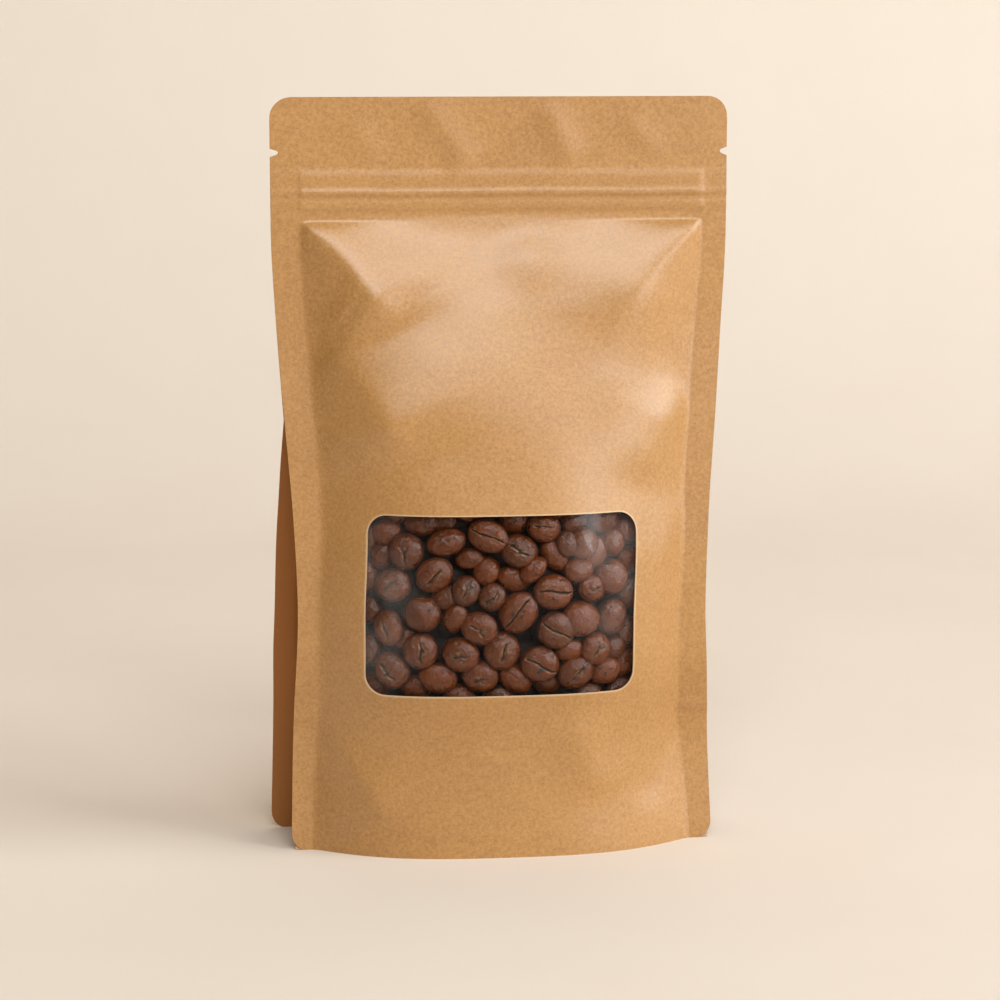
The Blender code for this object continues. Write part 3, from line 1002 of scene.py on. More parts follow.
@dataclass
class KraftWall(Sheet):
    """One kraft wall, cut flat to its outline and then formed."""

    form: WallForm
    cell: float = 1.25
    fine: float = 0.42
    crowd: float = 5.0
    notch_drop: float = 13.1
    notch_depth: float = 1.9
    notch_half: float = 0.85
    notch_reach: float = 4.0
    outline_fade: float = 1.0
    window_fade: float = 8.0
    rim_width: float = 0.25
    rim_share: float = 0.6
    inner_shade_share: float = 0.85

    @property
    def window(self) -> tuple[float, float, float, float]:
        """The window's left, right, lowest and highest lines on the flat web.

        Returns:
            The four lines, in millimetres.
        """
        sizes = self.form.sizes
        height = np.array(sizes.window_middle[1])
        lines = []
        for half in (-sizes.window_width / 2, sizes.window_width / 2):
            x = sizes.window_shift + half
            lines.append(float(x * sizes.crease / self.form.inner_half(height, np.array(x))))
        return lines[0], lines[1], sizes.window_low, sizes.window_high

    def grid_lines(self) -> tuple[Array, Array]:
        """Columns and rows that follow the seals, the zip, the notches and the window.

        Returns:
            The places of the columns and the heights of the rows.
        """
        sizes, band = self.form.sizes, self.form.zip_band
        columns = [-sizes.half_width, -sizes.crease, sizes.crease, sizes.half_width]
        drops = (sizes.shoulder_drop, band.bottom, band.rib_end, band.rib_start, band.top)
        rows = [0.0, *(sizes.height - d for d in (*drops, self.notch_drop)), sizes.height]
        if self.form.side is Side.FRONT:
            left, right, low, high = self.window
            columns += [left, right]
            rows += [low, high]
        across = stations(sorted(columns), self.cell, self.fine, self.crowd)
        up = stations(sorted(rows), self.cell, self.fine, self.crowd)
        return across, up

    def cut_window(self, blank: Object) -> None:
        """Delete the faces in the window's opening.

        Args:
            blank: The flat web.
        """
        left, right, low, high = self.window
        middles = np.empty(len(blank.data.polygons) * 3)
        blank.data.polygons.foreach_get("center", middles)
        x, _, z = middles.reshape(-1, 3).T
        with editing(blank):
            bpy.ops.mesh.select_mode(type="FACE")
        opening = (x > left) & (x < right) & (z > low) & (z < high)
        blank.data.polygons.foreach_set("select", opening)
        with editing(blank):
            bpy.ops.mesh.delete(type="FACE")

    def round_corners(self, blank: Object) -> Array:
        """Round the corners of the outline and of the window, and bite out the tear notches.

        Args:
            blank: The flat web.

        Returns:
            How near each vertex is to the window's edge, from 0 to 1 on the edge.
        """
        sizes = self.form.sizes
        x, _, z = coordinates(blank).T
        half, height = sizes.half_width, sizes.height
        fade = self.outline_fade
        for side in (-1, 1):
            x, z = rounded(x, z, (side * half, height), (side, 1), sizes.top_corner, fade)
            x, z = rounded(x, z, (side * half, 0.0), (side, -1), sizes.bottom_corner, fade)
        rim = np.zeros(len(x))
        if self.form.side is Side.FRONT:
            left, right, low, high = self.window
            outside = np.maximum(np.maximum(left - x, x - right), np.maximum(low - z, z - high))
            rim = 1 - ramp(outside, 0.0, 2 * self.rim_width)
            corner, fade = sizes.window_corner, self.window_fade
            for side, edge in ((-1, left), (1, right)):
                for up, level in ((-1, low), (1, high)):
                    x, z = rounded(x, z, (edge, level), (side, up), corner, fade)
        beside = np.abs(z - (height - self.notch_drop)) / self.notch_half
        bite = self.notch_depth * np.sqrt(np.clip(1 - beside**2, 0.0, 1.0))
        x = x - np.sign(x) * bite * ramp(np.abs(x), half - self.notch_reach, half)
        move_to(blank, np.stack((x, np.zeros(len(x)), z), axis=-1))
        return rim

    def build(self) -> Object:
        """Cut the blank, form it and give it the paper's thickness.

        Returns:
            The wall, with its window's rim and its inner face as attributes.
        """
        blank = flat_blank(f"{self.node}_paper", *self.grid_lines())
        if self.form.side is Side.FRONT:
            self.cut_window(blank)
        write_attribute(blank, "rim", self.round_corners(blank) * self.rim_share)
        flat_x, _, z = coordinates(blank).T
        face = self.form.face(self.form.real_x(flat_x, z), z)
        move_to(blank, to_row(face, self.middle))
        if self.form.side is Side.BACK:
            flip(blank)
        thickness = self.form.sizes.paper * MM
        apply_modifier(blank, "SOLIDIFY", thickness=thickness, offset=-1.0, use_even_offset=True)
        points = coordinates(blank)
        points[:, 2] = np.maximum(points[:, 2], 0.0)
        move_to(blank, points)
        # The modifier puts the inner face's vertices after the outer face's
        inner = np.arange(len(points)) >= len(points) // 2
        # The inner attribute carries the painted shade of the inner face
        write_attribute(blank, "inner", np.where(inner, self.inner_shade_share, 0.0))
        smooth(blank, 50.0)
        return blank


@dataclass
class BottomGusset(Sheet):
    """The bottom web: flat in the middle, and folded up into a tent towards each side."""

    front: WallForm
    back: WallForm
    columns: int = 90
    rows: int = 40
    edge_margin: float = 1.2
    clearance: float = 0.25

    def height(self, x: Array, across: Array) -> Array:
        """Work out how high the fold stands.

        Args:
            x: Places across the pouch, in millimetres.
            across: From -1 at the front wall to 1 at the back wall.

        Returns:
            The heights.
        """
        sizes = self.front.sizes
        slope = (np.abs(x) - sizes.gusset_flat) / (sizes.crease - sizes.gusset_flat)
        return sizes.gusset_rise * np.clip(slope, 0.0, 1.0) * (1 - np.abs(across))

    def place(self, flat_x: Array, across: Array) -> Array:
        """Find points of the web's underside.

        Args:
            flat_x: Places across the flat web.
            across: From -1 at the front wall to 1 at the back wall.

        Returns:
            The points as rows of x, y and z, in millimetres.
        """
        z = self.height(flat_x, across)
        x = self.front.real_x(flat_x, z)
        depth = self.front.sizes.paper + self.clearance
        front = self.front.inside(x, z, depth)[:, 1]
        back = self.back.inside(x, z, depth)[:, 1]
        return np.stack((x, front + (back - front) * (across + 1) / 2, z), axis=-1)

    def build(self) -> Object:
        """Lay the web out flat, fold it and give it the paper's thickness.

        Returns:
            The web.
        """
        sizes = self.front.sizes
        half = sizes.half_width - self.edge_margin
        folds = (-sizes.gusset_flat, sizes.gusset_flat)
        lines = np.sort(np.append(np.linspace(-half, half, self.columns), folds))
        blank = flat_blank(f"{self.node}_paper", lines, np.linspace(-1.0, 1.0, self.rows + 1))
        points = coordinates(blank)
        move_to(blank, to_row(self.place(points[:, 0], points[:, 2]), self.middle))
        self.thicken(blank, sizes.paper, 50.0, offset=1.0)
        return blank


@dataclass
class SideWeb(Sheet):
    """The web that closes one side between the walls, folded inwards. side is -1 for the left."""

    side: int
    gusset: BottomGusset
    columns: int = 25
    rows: int = 61
    lift: float = 1.2
    edge_margin: float = 1.6
    fold_round: float = 0.02
    clearance: float = 0.1

    def place(self, across: Array, share: Array) -> Array:
        """Find points of the web's outer face.

        Args:
            across: From -1 at the front wall to 1 at the back wall.
            share: From 0 at the foot to 1 at the top.

        Returns:
            The points as rows of x, y and z, in millimetres.
        """
        front, back = self.gusset.front, self.gusset.back
        sizes = front.sizes
        low = self.lift + self.gusset.height(np.full(across.shape, sizes.crease), across)
        z = low + (sizes.side_web_top - low) * share
        side = np.full(across.shape, float(self.side))
        half = np.minimum(front.half_width(z, side), back.half_width(z, side)) - self.edge_margin
        near_fold = 1 - np.sqrt(across**2 + self.fold_round)
        fold = sizes.side_web_fold * near_fold / (1 - math.sqrt(self.fold_round))
        edge = side * sizes.half_width
        depth = sizes.paper + self.clearance
        near, far = -front.reach(edge, z) + depth, back.reach(edge, z) - depth
        x = side * (half - np.maximum(fold, 0.0))
        return np.stack((x, near + (far - near) * (across + 1) / 2, z), axis=-1)

    def build(self) -> Object:
        """Lay the web out flat, fold it and give it the paper's thickness.

        Returns:
            The web.
        """
        across, up = np.linspace(-1.0, 1.0, self.columns), np.linspace(0.0, 1.0, self.rows)
        blank = flat_blank(f"{self.node}_paper", across, up)
        points = coordinates(blank)
        move_to(blank, to_row(self.place(points[:, 0], points[:, 2]), self.middle))
        if self.side < 0:
            flip(blank)
        self.thicken(blank, self.gusset.front.sizes.paper, 60.0)
        return blank


@dataclass
class WindowFilm(Sheet):
    """The clear film glued behind the front wall, wider than the opening all round.

    Its ripples are dents and swellings, and its cloudy patches of painted reflection are the
    same, all placed from the window's middle.
    """

    form: WallForm
    cell: float = 0.9
    clearance: float = 0.05
    ripples: tuple[Dent, ...] = (
        Dent(21.5, 13.0, -0.3, 2.4, 7.0, 30),
        Dent(28.5, 5.5, -0.45, 3.0, 4.0, 35),
        Dent(23.0, -7.0, -0.35, 3.5, 3.5, 20),
        Dent(-28.0, 2.0, -0.25, 3.0, 14.0, 4),
    )
    cloudy_painted_reflection: tuple[Dent, ...] = (
        Dent(-31.0, 0.0, -1.2, 8.0, 26.0),
        Dent(25.0, 14.0, -1.2, 8.0, 6.0, 20),
        Dent(30.0, 6.0, -1.2, 4.0, 5.0, 40),
        Dent(25.0, -5.0, -0.8, 7.0, 5.0, 10),
    )

    def build(self) -> Object:
        """Cut the film, lay it behind the wall and give it its thickness.

        Returns:
            The film, with its cloudy patches of painted reflection as an attribute.
        """
        sizes = self.form.sizes
        half = sizes.window_width / 2 + sizes.film_margin
        shift = sizes.window_shift
        low, high = sizes.window_low - sizes.film_margin, sizes.window_high + sizes.film_margin
        columns = np.linspace(shift - half, shift + half, round(2 * half / self.cell))
        rows = np.linspace(low, high, round((high - low) / self.cell))
        blank = flat_blank(f"{self.node}_sheet", columns, rows)
        x, _, z = coordinates(blank).T
        across, up = x - sizes.window_middle[0], z - sizes.window_middle[1]
        # The ripples end where the film is glued down
        clear = ramp(half - sizes.film_margin - np.abs(across), -1.0, 4.0)
        clear *= ramp((sizes.window_high - sizes.window_low) / 2 - np.abs(up), -1.0, 4.0)
        moved = total_relief(self.ripples, across, up, NO_EDGE) * clear
        behind = sizes.paper + self.clearance - moved
        move_to(blank, to_row(self.form.inside(x, z, behind), self.middle))
        # Painted reflection: pale cloudy patches at the window's left and upper right
        cloudy_painted_reflection = total_relief(self.cloudy_painted_reflection, across, up, NO_EDGE)
        write_attribute(blank, "cloudy_painted_reflection", np.clip(cloudy_painted_reflection, 0.0, 1.0))
        self.thicken(blank, sizes.film, 60.0)
        return blank


# ---- The beans ----


class Look(Enum):
    """What a bean shows towards the window."""

    ROUND = "its smooth back"
    CRACKED = "a pinched face with a short crack"
    CREASED = "its open crease, with chaff"


@dataclass(frozen=True)
class Cut:
    """A cut into a bean's face, between two points of a bean that is one unit long and wide."""

    start: Point
    end: Point
    depth: float
    width: float
    bow: float = 0.0
    wobble: float = 0.3
    end_round: float = 0.07

    def depths(self, x: Array, y: Array) -> tuple[Array, Array]:
        """Work out the cut's depth and the chaff beside it.

        Args:
            x: Places along the bean.
            y: Places across the bean.

        Returns:
            The depth and the share of chaff at each place.
        """
        (ax, ay), (bx, by) = self.start, self.end
        length = math.hypot(bx - ax, by - ay)
        ux, uy = (bx - ax) / length, (by - ay) / length
        along = (x - ax) * ux + (y - ay) * uy
        turn = 2 * math.pi * np.clip(along / length, 0, 1)
        aside = (y - ay) * ux - (x - ax) * uy - self.bow * np.sin(turn)
        # Two waves of unlike length keep the cut from running straight
        waves = np.sin(67 * along + 40 * self.bow) + np.sin(113 * along + 1.3)
        aside += self.wobble * self.width * waves
        started = ramp(along, -0.02, self.end_round)
        ends = started * (1 - ramp(along, length - self.end_round, length + 0.02))
        share = aside / self.width
        flakes = np.exp(-((np.abs(share) - 1.5) ** 2) / 0.35)
        return self.depth * np.exp(-(share**2)) * ends, flakes * ends


@dataclass(frozen=True)
class BeanShape:
    """One roasted bean, one unit long, wide and thick. Its face looks along -Z."""

    seed: int
    divisions: int
    cuts: tuple[Cut, ...] = ()
    flat: float = 0.88
    hollow: float = 0.0
    hollow_width: float = 0.16
    wrinkle: float = 0.014
    crowd: float = 0.32
    dark_back: float = 0.8
    dark_from: float = -0.26
    dark_over: float = 0.4
    dark_depth: float = 0.06
    chaff_depth: float = 0.09
    chaff_rise: float = 0.12

    def skin(self, points: Array) -> tuple[Array, Array]:
        """Work out the skin's wrinkles and where its chaff has flaked off.

        Args:
            points: Places on a smooth ball.

        Returns:
            The wrinkles' height at each place, and the flecks, both about 0.
        """
        offset = Vector((self.seed * 3.7, self.seed * 1.9, self.seed * 5.3))
        bumps = np.array([noise.noise(Vector(p) * 4.0 + offset) for p in points])
        ridges = np.array([abs(noise.noise(Vector(p) * 7.5 - offset)) for p in points])
        flecks = np.array([noise.noise(Vector(p) * 16.0 + offset) for p in points])
        return self.wrinkle * (2.0 * bumps - 2.2 * ridges), flecks

    def build(self) -> Object:
        """Model the bean from a cube drawn out to a ball, flattened, hollowed and cut.

        Returns:
            The bean, with its painted crease and back shade and its chaff as attributes.
        """
        ball = divided_cube(f"bean_shape_{self.seed}", 1.0, self.divisions)
        points = coordinates(ball)
        if self.cuts:
            # The grid crowds together along the middle, where the crease runs
            y = points[:, 1]
            points[:, 1] = y * (self.crowd + (1 - self.crowd) * np.abs(y) * 2)
            move_to(ball, points)
        with editing(ball):
            bpy.ops.transform.tosphere(value=1.0)
        points = coordinates(ball)
        points /= 2 * np.linalg.norm(points, axis=1, keepdims=True)
        x, y, z = points.T
        face = ramp(-z, -0.05, 0.12)
        z = np.where(z < 0, z * self.flat, z)
        z = z + face * self.hollow * np.exp(-((y / self.hollow_width) ** 2)) * (1 - 2.6 * x**2)
        crease, chaff = np.zeros(len(x)), np.zeros(len(x))
        for cut in self.cuts:
            depth, flakes = cut.depths(x, y)
            z = z + face * (depth - self.chaff_rise * cut.depth * flakes)
            # Painted shade: each cut is darker the deeper it goes
            shade = face * np.clip(1.15 * depth / cut.depth, 0, 1)
            crease = np.maximum(crease, shade * min(1.0, cut.depth / self.dark_depth))
            chaff = np.maximum(chaff, face * flakes * min(1.0, cut.depth / self.chaff_depth))
        wrinkles, flecks = self.skin(points)
        move_to(ball, np.stack((x, y, z), axis=-1) * (1 + wrinkles[:, None]))
        # Painted shade: from the rim of its face to its back the bean darkens, as it lies in the
        # shade of the heap
        behind = self.dark_back * ramp(z, self.dark_from, self.dark_from + self.dark_over)
        write_attribute(ball, "crease", np.maximum(crease, behind))
        write_attribute(ball, "chaff", chaff * np.clip(0.45 + 1.6 * flecks, 0.0, 1.0))
        smooth(ball, 180.0)
        return ball


CREASED_SHAPES = (
    BeanShape(1, 21, (
        Cut((-0.44, 0.0), (0.44, 0.0), 0.11, 0.022, 0.03),
        Cut((0.2, 0.03), (0.32, 0.12), 0.03, 0.02),
    ), 0.74, 0.05),
    BeanShape(2, 21, (Cut((-0.42, 0.02), (0.45, -0.01), 0.1, 0.025, -0.035),), 0.76, 0.055),
    BeanShape(3, 21, (
        Cut((-0.45, -0.02), (0.41, 0.02), 0.12, 0.021, 0.018),
        Cut((0.1, 0.03), (0.2, 0.16), 0.04, 0.022),
    ), 0.74, 0.045),
)
CRACKED_SHAPES = (
    BeanShape(4, 15, (
        Cut((-0.28, 0.05), (0.24, -0.03), 0.1, 0.03, 0.03),
        Cut((0.04, 0.01), (0.16, 0.15), 0.06, 0.026),
    ), 0.86, 0.04, 0.2),
    BeanShape(5, 15, (
        Cut((-0.28, -0.04), (0.02, 0.0), 0.1, 0.03), Cut((0.0, 0.0), (0.18, 0.16), 0.09, 0.028),
        Cut((0.0, 0.0), (0.22, -0.12), 0.08, 0.028),
    ), 0.86, 0.045, 0.2),
    BeanShape(6, 15, (
        Cut((-0.32, 0.0), (0.27, 0.04), 0.09, 0.03, -0.035),
        Cut((0.02, 0.0), (-0.04, 0.2), 0.07, 0.026),
        Cut((-0.12, 0.02), (-0.24, -0.12), 0.05, 0.024),
    ), 0.85, 0.04, 0.22),
    BeanShape(7, 15, (
        Cut((-0.2, 0.14), (0.16, -0.08), 0.08, 0.03, 0.02),
        Cut((-0.15, -0.13), (0.06, 0.0), 0.06, 0.026), Cut((0.04, 0.0), (0.2, 0.12), 0.05, 0.024),
    ), 0.9, 0.03, 0.18, 0.02),
)
ROUND_SHAPES = tuple(BeanShape(seed, 10, wrinkle=0.02, flat=0.92) for seed in range(8, 12))
# Painted shade: the beans behind the front row are dark nearly all over
HIDDEN_SHAPES = tuple(
    BeanShape(seed, 5, wrinkle=0.02, dark_back=0.95, dark_from=-0.8) for seed in range(12, 15)
)


@dataclass(frozen=True)
class Bean:
    """One bean behind the film: its middle from the window's middle, its length and width as
    they show, the turn of its length from level in degrees, and how far behind the film it lies."""

    x: float
    z: float
    length: float
    width: float
    turn: float
    look: Look
    back: float = 0.0


R, K, C = Look.ROUND, Look.CRACKED, Look.CREASED

# The beans that show in the window, row by row from the top, as they lie against the film, and
# then others that go on past its edges: x, z, length, width, turn, look and back of each
FRONT_BEANS = tuple(Bean(*row) for row in (
    (-29.3, 18.0, 8.2, 7.2, 20, R, 2.0), (-20.0, 20.6, 9.0, 7.0, 0, R, 2.5),
    (-14.5, 20.8, 7.5, 6.5, 0, R, 3.5), (-3.3, 17.3, 10.2, 7.8, -25, C, 0.0),
    (3.3, 21.2, 8.0, 7.0, 0, R, 3.0), (10.5, 19.2, 8.4, 7.6, -20, K, 1.0),
    (18.8, 20.4, 7.5, 6.5, 40, R, 2.5), (26.7, 20.2, 9.0, 7.5, 0, R, 1.5),
    (-30.9, 11.9, 7.0, 6.0, 80, R, 2.6), (-23.6, 13.5, 9.0, 8.7, 100, K, 0.0),
    (-13.6, 15.9, 9.8, 6.6, 15, R, 0.6), (-7.7, 11.9, 7.2, 5.2, 5, R, 2.2),
    (4.3, 13.5, 9.3, 8.2, -25, K, 0.3), (13.4, 12.3, 9.0, 6.4, -55, R, 2.6),
    (16.4, 15.0, 6.6, 6.0, 90, R, 1.0), (20.6, 14.7, 8.2, 7.6, 80, R, 0.4),
    (24.4, 12.6, 8.5, 7.0, 60, R, 2.2), (29.0, 14.6, 7.2, 6.6, 60, R, 1.2),
    (-27.2, 5.1, 9.4, 8.2, 0, K, 0.2), (-16.7, 8.0, 9.6, 8.2, 35, K, 0.2),
    (-3.6, 8.8, 7.0, 6.6, 60, R, 1.6), (3.1, 6.6, 8.5, 6.5, -20, R, 2.4),
    (7.6, 9.0, 7.8, 5.2, 42, R, 0.3), (19.5, 8.4, 7.8, 6.2, 10, R, 1.4),
    (28.6, 6.1, 9.0, 8.6, 40, R, 0.3), (-13.8, 2.2, 7.5, 6.0, 20, R, 2.4),
    (-8.8, 4.0, 7.6, 7.0, 70, K, 0.8), (-2.3, 2.3, 7.2, 6.6, 50, K, 1.2),
    (12.6, 3.4, 9.8, 8.6, -3, C, 0.0), (23.0, 3.7, 7.6, 6.8, -20, K, 1.2),
    (-28.3, -5.7, 9.0, 7.8, 100, K, 0.5), (-19.8, -1.8, 9.4, 8.8, -20, R, 0.0),
    (-11.5, -3.0, 7.6, 6.0, 60, R, 1.6), (4.0, -1.6, 10.8, 9.0, 52, C, 0.2),
    (20.0, -3.9, 10.2, 8.8, -15, R, 0.2), (28.7, -4.0, 9.4, 8.0, 85, R, 0.5),
    (-24.8, -8.6, 6.5, 5.5, 60, R, 3.0), (-5.5, -5.4, 9.3, 8.1, -20, K, 0.0),
    (13.3, -6.3, 9.6, 9.2, -32, C, 0.0), (-20.2, -11.1, 9.0, 8.6, 100, K, 0.2),
    (-10.1, -12.0, 9.5, 8.6, -30, K, 0.0), (0.0, -11.2, 9.4, 9.0, 60, K, 0.0),
    (17.2, -11.8, 7.4, 5.6, 5, R, 1.8), (23.9, -11.6, 8.2, 7.8, 60, K, 0.5),
    (29.6, -12.0, 7.0, 6.0, 30, R, 1.6), (-27.4, -16.6, 9.8, 8.8, -35, K, 0.1),
    (-15.7, -18.5, 9.6, 7.8, -10, R, 0.4), (-5.2, -18.1, 9.2, 8.0, -20, K, 0.6),
    (3.6, -19.2, 9.4, 7.0, -40, R, 1.2), (9.3, -14.9, 9.9, 9.0, -28, C, 0.0),
    (18.6, -17.7, 9.6, 8.0, 35, K, 0.3), (26.8, -18.0, 8.4, 7.2, 15, R, 0.6),
    (11.9, -21.0, 7.5, 6.0, 0, R, 2.6), (-21.4, -21.5, 8.0, 6.5, 0, R, 2.4),
    (33.6, 17.6, 8.0, 7.0, 70, R, 1.6), (33.9, 9.6, 7.6, 6.8, 20, R, 1.4),
    (34.6, 1.2, 8.4, 7.2, 60, R, 1.2), (33.9, -8.4, 8.0, 7.0, 100, R, 1.4),
    (33.2, -16.6, 8.2, 7.2, 30, R, 1.8), (-34.2, 16.0, 8.0, 7.0, 70, R, 1.8),
    (-34.8, 6.5, 8.2, 7.0, 90, R, 1.4), (-34.4, -1.8, 8.0, 7.0, 20, R, 1.8),
    (-34.0, -11.6, 8.0, 7.0, 60, R, 1.4), (-32.6, -22.0, 8.4, 7.0, 10, R, 1.8),
    (-25.6, 23.6, 8.0, 7.0, 20, R, 1.6), (-7.6, 24.0, 8.4, 7.0, 0, R, 1.6),
    (14.6, 24.4, 8.2, 7.0, 10, R, 2.0), (32.0, 24.4, 8.4, 7.2, 30, R, 1.6),
    (-10.4, -24.0, 8.0, 7.0, 0, R, 1.4), (-0.6, -24.6, 8.4, 7.2, 20, R, 1.2),
    (22.4, -24.2, 8.0, 7.0, 0, R, 1.2), (31.4, -24.0, 8.4, 7.2, 40, R, 1.4),
))


@dataclass
class BeanHeap:
    """The beans behind the film: the ones that show, and rows of others in the gaps behind them."""

    form: WallForm
    middle: Vector
    thickness: float = 6.6
    usual_width: float = 8.0
    film_gap: float = 0.12
    tip_by: float = 12.0
    yaw_by: float = 10.0
    darkest_tone: float = 0.7
    pitch: float = 7.6
    scatter: float = 1.2
    margin: float = 3.0
    rows_behind: tuple[float, ...] = (5.4, 9.6)
    random: np.random.Generator = field(default_factory=lambda: np.random.default_rng(7))

    def either_way(self, most: float) -> float:
        """A random number between less most and most."""
        return float(self.random.uniform(-most, most))

    def placed(self, bean: Bean, touch: Array, out: Vector, points: Array) -> Array:
        """Scale, turn and push one bean against the film.

        Args:
            bean: How it lies.
            touch: The point of the film's back that it lies against.
            out: The direction out of the film there.
            points: The vertices of its shape.

        Returns:
            The vertices in their places, in millimetres.
        """
        tip = Matrix.Rotation(math.radians(self.either_way(self.tip_by)), 3, "X")
        yaw = Matrix.Rotation(math.radians(self.either_way(self.yaw_by)), 3, "Y")
        level = Vector((0, 0, 1)).cross(out).normalized()
        lengthwise = Matrix.Rotation(math.radians(bean.turn), 3, out) @ level
        crosswise = -out.cross(lengthwise).normalized()
        axes = Matrix((lengthwise, crosswise, -out)).transposed()
        thickness = self.thickness * bean.width / self.usual_width
        body = (points * (bean.length, bean.width, thickness)) @ np.array(axes @ tip @ yaw).T
        nearest = (body @ np.array(out)).max()
        return body + touch - np.array(out) * (nearest + bean.back)

    def join(
        self, name: str, beans: Sequence[Bean], shapes: Sequence[BeanShape], finish: Material
    ) -> None:
        """Model a few beans, lay copies of them in their places and join them to one piece.

        Args:
            name: The piece's name.
            beans: Where and how each bean lies.
            shapes: The shapes to take in turn.
            finish: The beans' material.
        """
        masters = [shape.build() for shape in shapes]
        window_x, window_z = self.form.sizes.window_middle
        x = np.array([window_x + bean.x for bean in beans])
        z = np.array([window_z + bean.z for bean in beans])
        depth = self.form.sizes.paper + self.form.sizes.film + self.film_gap
        touches, outs = self.form.inside(x, z, depth), self.form.normal(x, z)
        copies = []
        for number, bean in enumerate(beans):
            copy = bpy.data.objects.new(name, masters[number % len(masters)].data.copy())
            bpy.context.scene.collection.objects.link(copy)
            lying = self.placed(bean, touches[number], Vector(outs[number]), coordinates(copy))
            move_to(copy, to_row(lying, self.middle))
            tone = self.random.uniform(0.0, self.darkest_tone)
            write_attribute(copy, "tone", np.full(len(lying), tone))
            copies.append(copy)
        pick(*copies)
        bpy.ops.object.join()
        for master in masters:
            bpy.data.objects.remove(master, do_unlink=True)
        copies[0].name = copies[0].data.name = name
        finish_piece(copies[0], finish, "coffee_beans", "coffee_beans")

    def behind(self) -> list[Bean]:
        """Lay out offset rows of beans behind the ones that show.

        Returns:
            The beans, those of the nearer layer first.
        """
        sizes = self.form.sizes
        row_step = self.pitch * math.sqrt(3) / 2
        rows = math.ceil((sizes.window_high - sizes.window_low) / 2 / row_step) + 1
        columns = math.ceil(sizes.window_width / 2 / self.pitch) + 1
        beans = []
        for layer, back in enumerate(self.rows_behind):
            for j in range(-rows, rows + 1):
                for i in range(-columns, columns + 1):
                    x = (i + 0.5 * ((j + layer) % 2)) * self.pitch + self.either_way(self.scatter)
                    z = (j + 0.3 * layer) * row_step + self.either_way(self.scatter)
                    turn = self.random.uniform(0, 180)
                    inside = abs(x) < sizes.window_width / 2 + self.margin
                    if inside and abs(z) < rows * row_step:
                        beans.append(Bean(x, z, 9.0, 7.6, turn, Look.ROUND, back))
        return beans

    def dress(self, finish: Material) -> None:
        """Build the beans, one piece for each kind.

        Args:
            finish: The beans' material.
        """
        for look, shapes in ((C, CREASED_SHAPES), (K, CRACKED_SHAPES), (R, ROUND_SHAPES)):
            beans = [bean for bean in FRONT_BEANS if bean.look is look]
            self.join(f"beans_{look.name.lower()}", beans, shapes, finish)
        self.join("beans_behind", self.behind(), HIDDEN_SHAPES, finish)


@dataclass
class HeapCore:
    """The rest of the heap, out of sight: one smaller body under the beans that show."""

    front: WallForm
    back: WallForm
    middle: Vector
    cuts: int = 35
    low: float = 4.0
    high: float = 121.0
    front_gap: float = 12.0
    back_gap: float = 5.0
    side_gap: float = 6.0
    foot_gap: float = 3.0
    foot_high: float = 40.0
    least_half: float = 0.6
    bump: float = 0.7
    shade: float = 0.8

    def build(self) -> Object:
        """Shape a ball of many faces to the inside of the pouch, with bean-sized bumps.

        Returns:
            The core, all of it in the shade of the beans.
        """
        core = divided_cube("bean_core", 2.0, self.cuts)
        u, v, w = coordinates(core).T
        z = self.low + (self.high - self.low) * (w + 1) / 2
        sizes = self.front.sizes
        ends = np.sqrt(np.clip(1 - np.abs(w) ** 6, 0.02, 1.0))
        narrow = sizes.gusset_flat - self.foot_gap
        wider = np.clip(z / self.foot_high, 0.0, 1.0)
        foot = narrow + (sizes.crease - self.side_gap - narrow) * wider
        x = u * (np.minimum(self.front.inner_half(z, u) - self.side_gap, foot) * ends)
        front = -self.front.reach(x, z) + self.front_gap
        back = self.back.reach(x, z) - self.back_gap
        centre, deep = (front + back) / 2, np.maximum((back - front) / 2, self.least_half)
        y = centre + v * deep * np.sqrt(np.clip(1 - np.abs(u) ** 4, 0.05, 1.0))
        points = np.stack((x, y, z), axis=-1)
        lumps = [noise.cell(Vector(p) / 8.0) + noise.noise(Vector(p) / 5.0) for p in points]
        points[:, 1] += np.array(lumps) * self.bump * np.sign(v) * (np.abs(v) > 0.99)
        move_to(core, to_row(points, self.middle))
        apply_modifier(core, "SUBSURF", levels=1, render_levels=1)
        smooth(core, 180.0)
        # Painted shade: the whole core is darkened through the crease attribute
        for key, share in (("tone", 0.0), ("crease", self.shade), ("chaff", 0.0)):
            write_attribute(core, key, np.full(len(core.data.vertices), share))
        return core

    def dress(self, finish: Material) -> None:
        """Build the core and dress it as coffee. It stands in for no node of its own."""
        finish_piece(self.build(), finish, "coffee_beans")


# ---- The studio ----


@dataclass(frozen=True)
class SoftBox:
    """A large soft light, aimed at the pouch.

    Its place is given by angles and a distance in metres: azimuth 0 is in front of the pouch and
    90 to its right. wide and high are metres too, and power is in watts.
    """

    name: str
    azimuth: float
    elevation: float
    distance: float
    wide: float
    high: float
    power: float
    colour: tuple[float, float, float] = (0.985, 1.0, 1.0)

    def build(self, aim: Vector) -> None:
        """Put the light in its place.

        Args:
            aim: The point at which it looks.
        """
        a, e = math.radians(self.azimuth), math.radians(self.elevation)
        way = Vector((math.sin(a) * math.cos(e), -math.cos(a) * math.cos(e), math.sin(e)))
        data = bpy.data.lights.new(self.name, "AREA")
        data.shape = "RECTANGLE"
        data.size, data.size_y = self.wide, self.high
        data.energy, data.color = self.power, self.colour
        light = bpy.data.objects.new(self.name, data)
        bpy.context.scene.collection.objects.link(light)
        light.location = aim + way * self.distance
        light.rotation_euler = (-way).to_track_quat("-Z", "Y").to_euler()


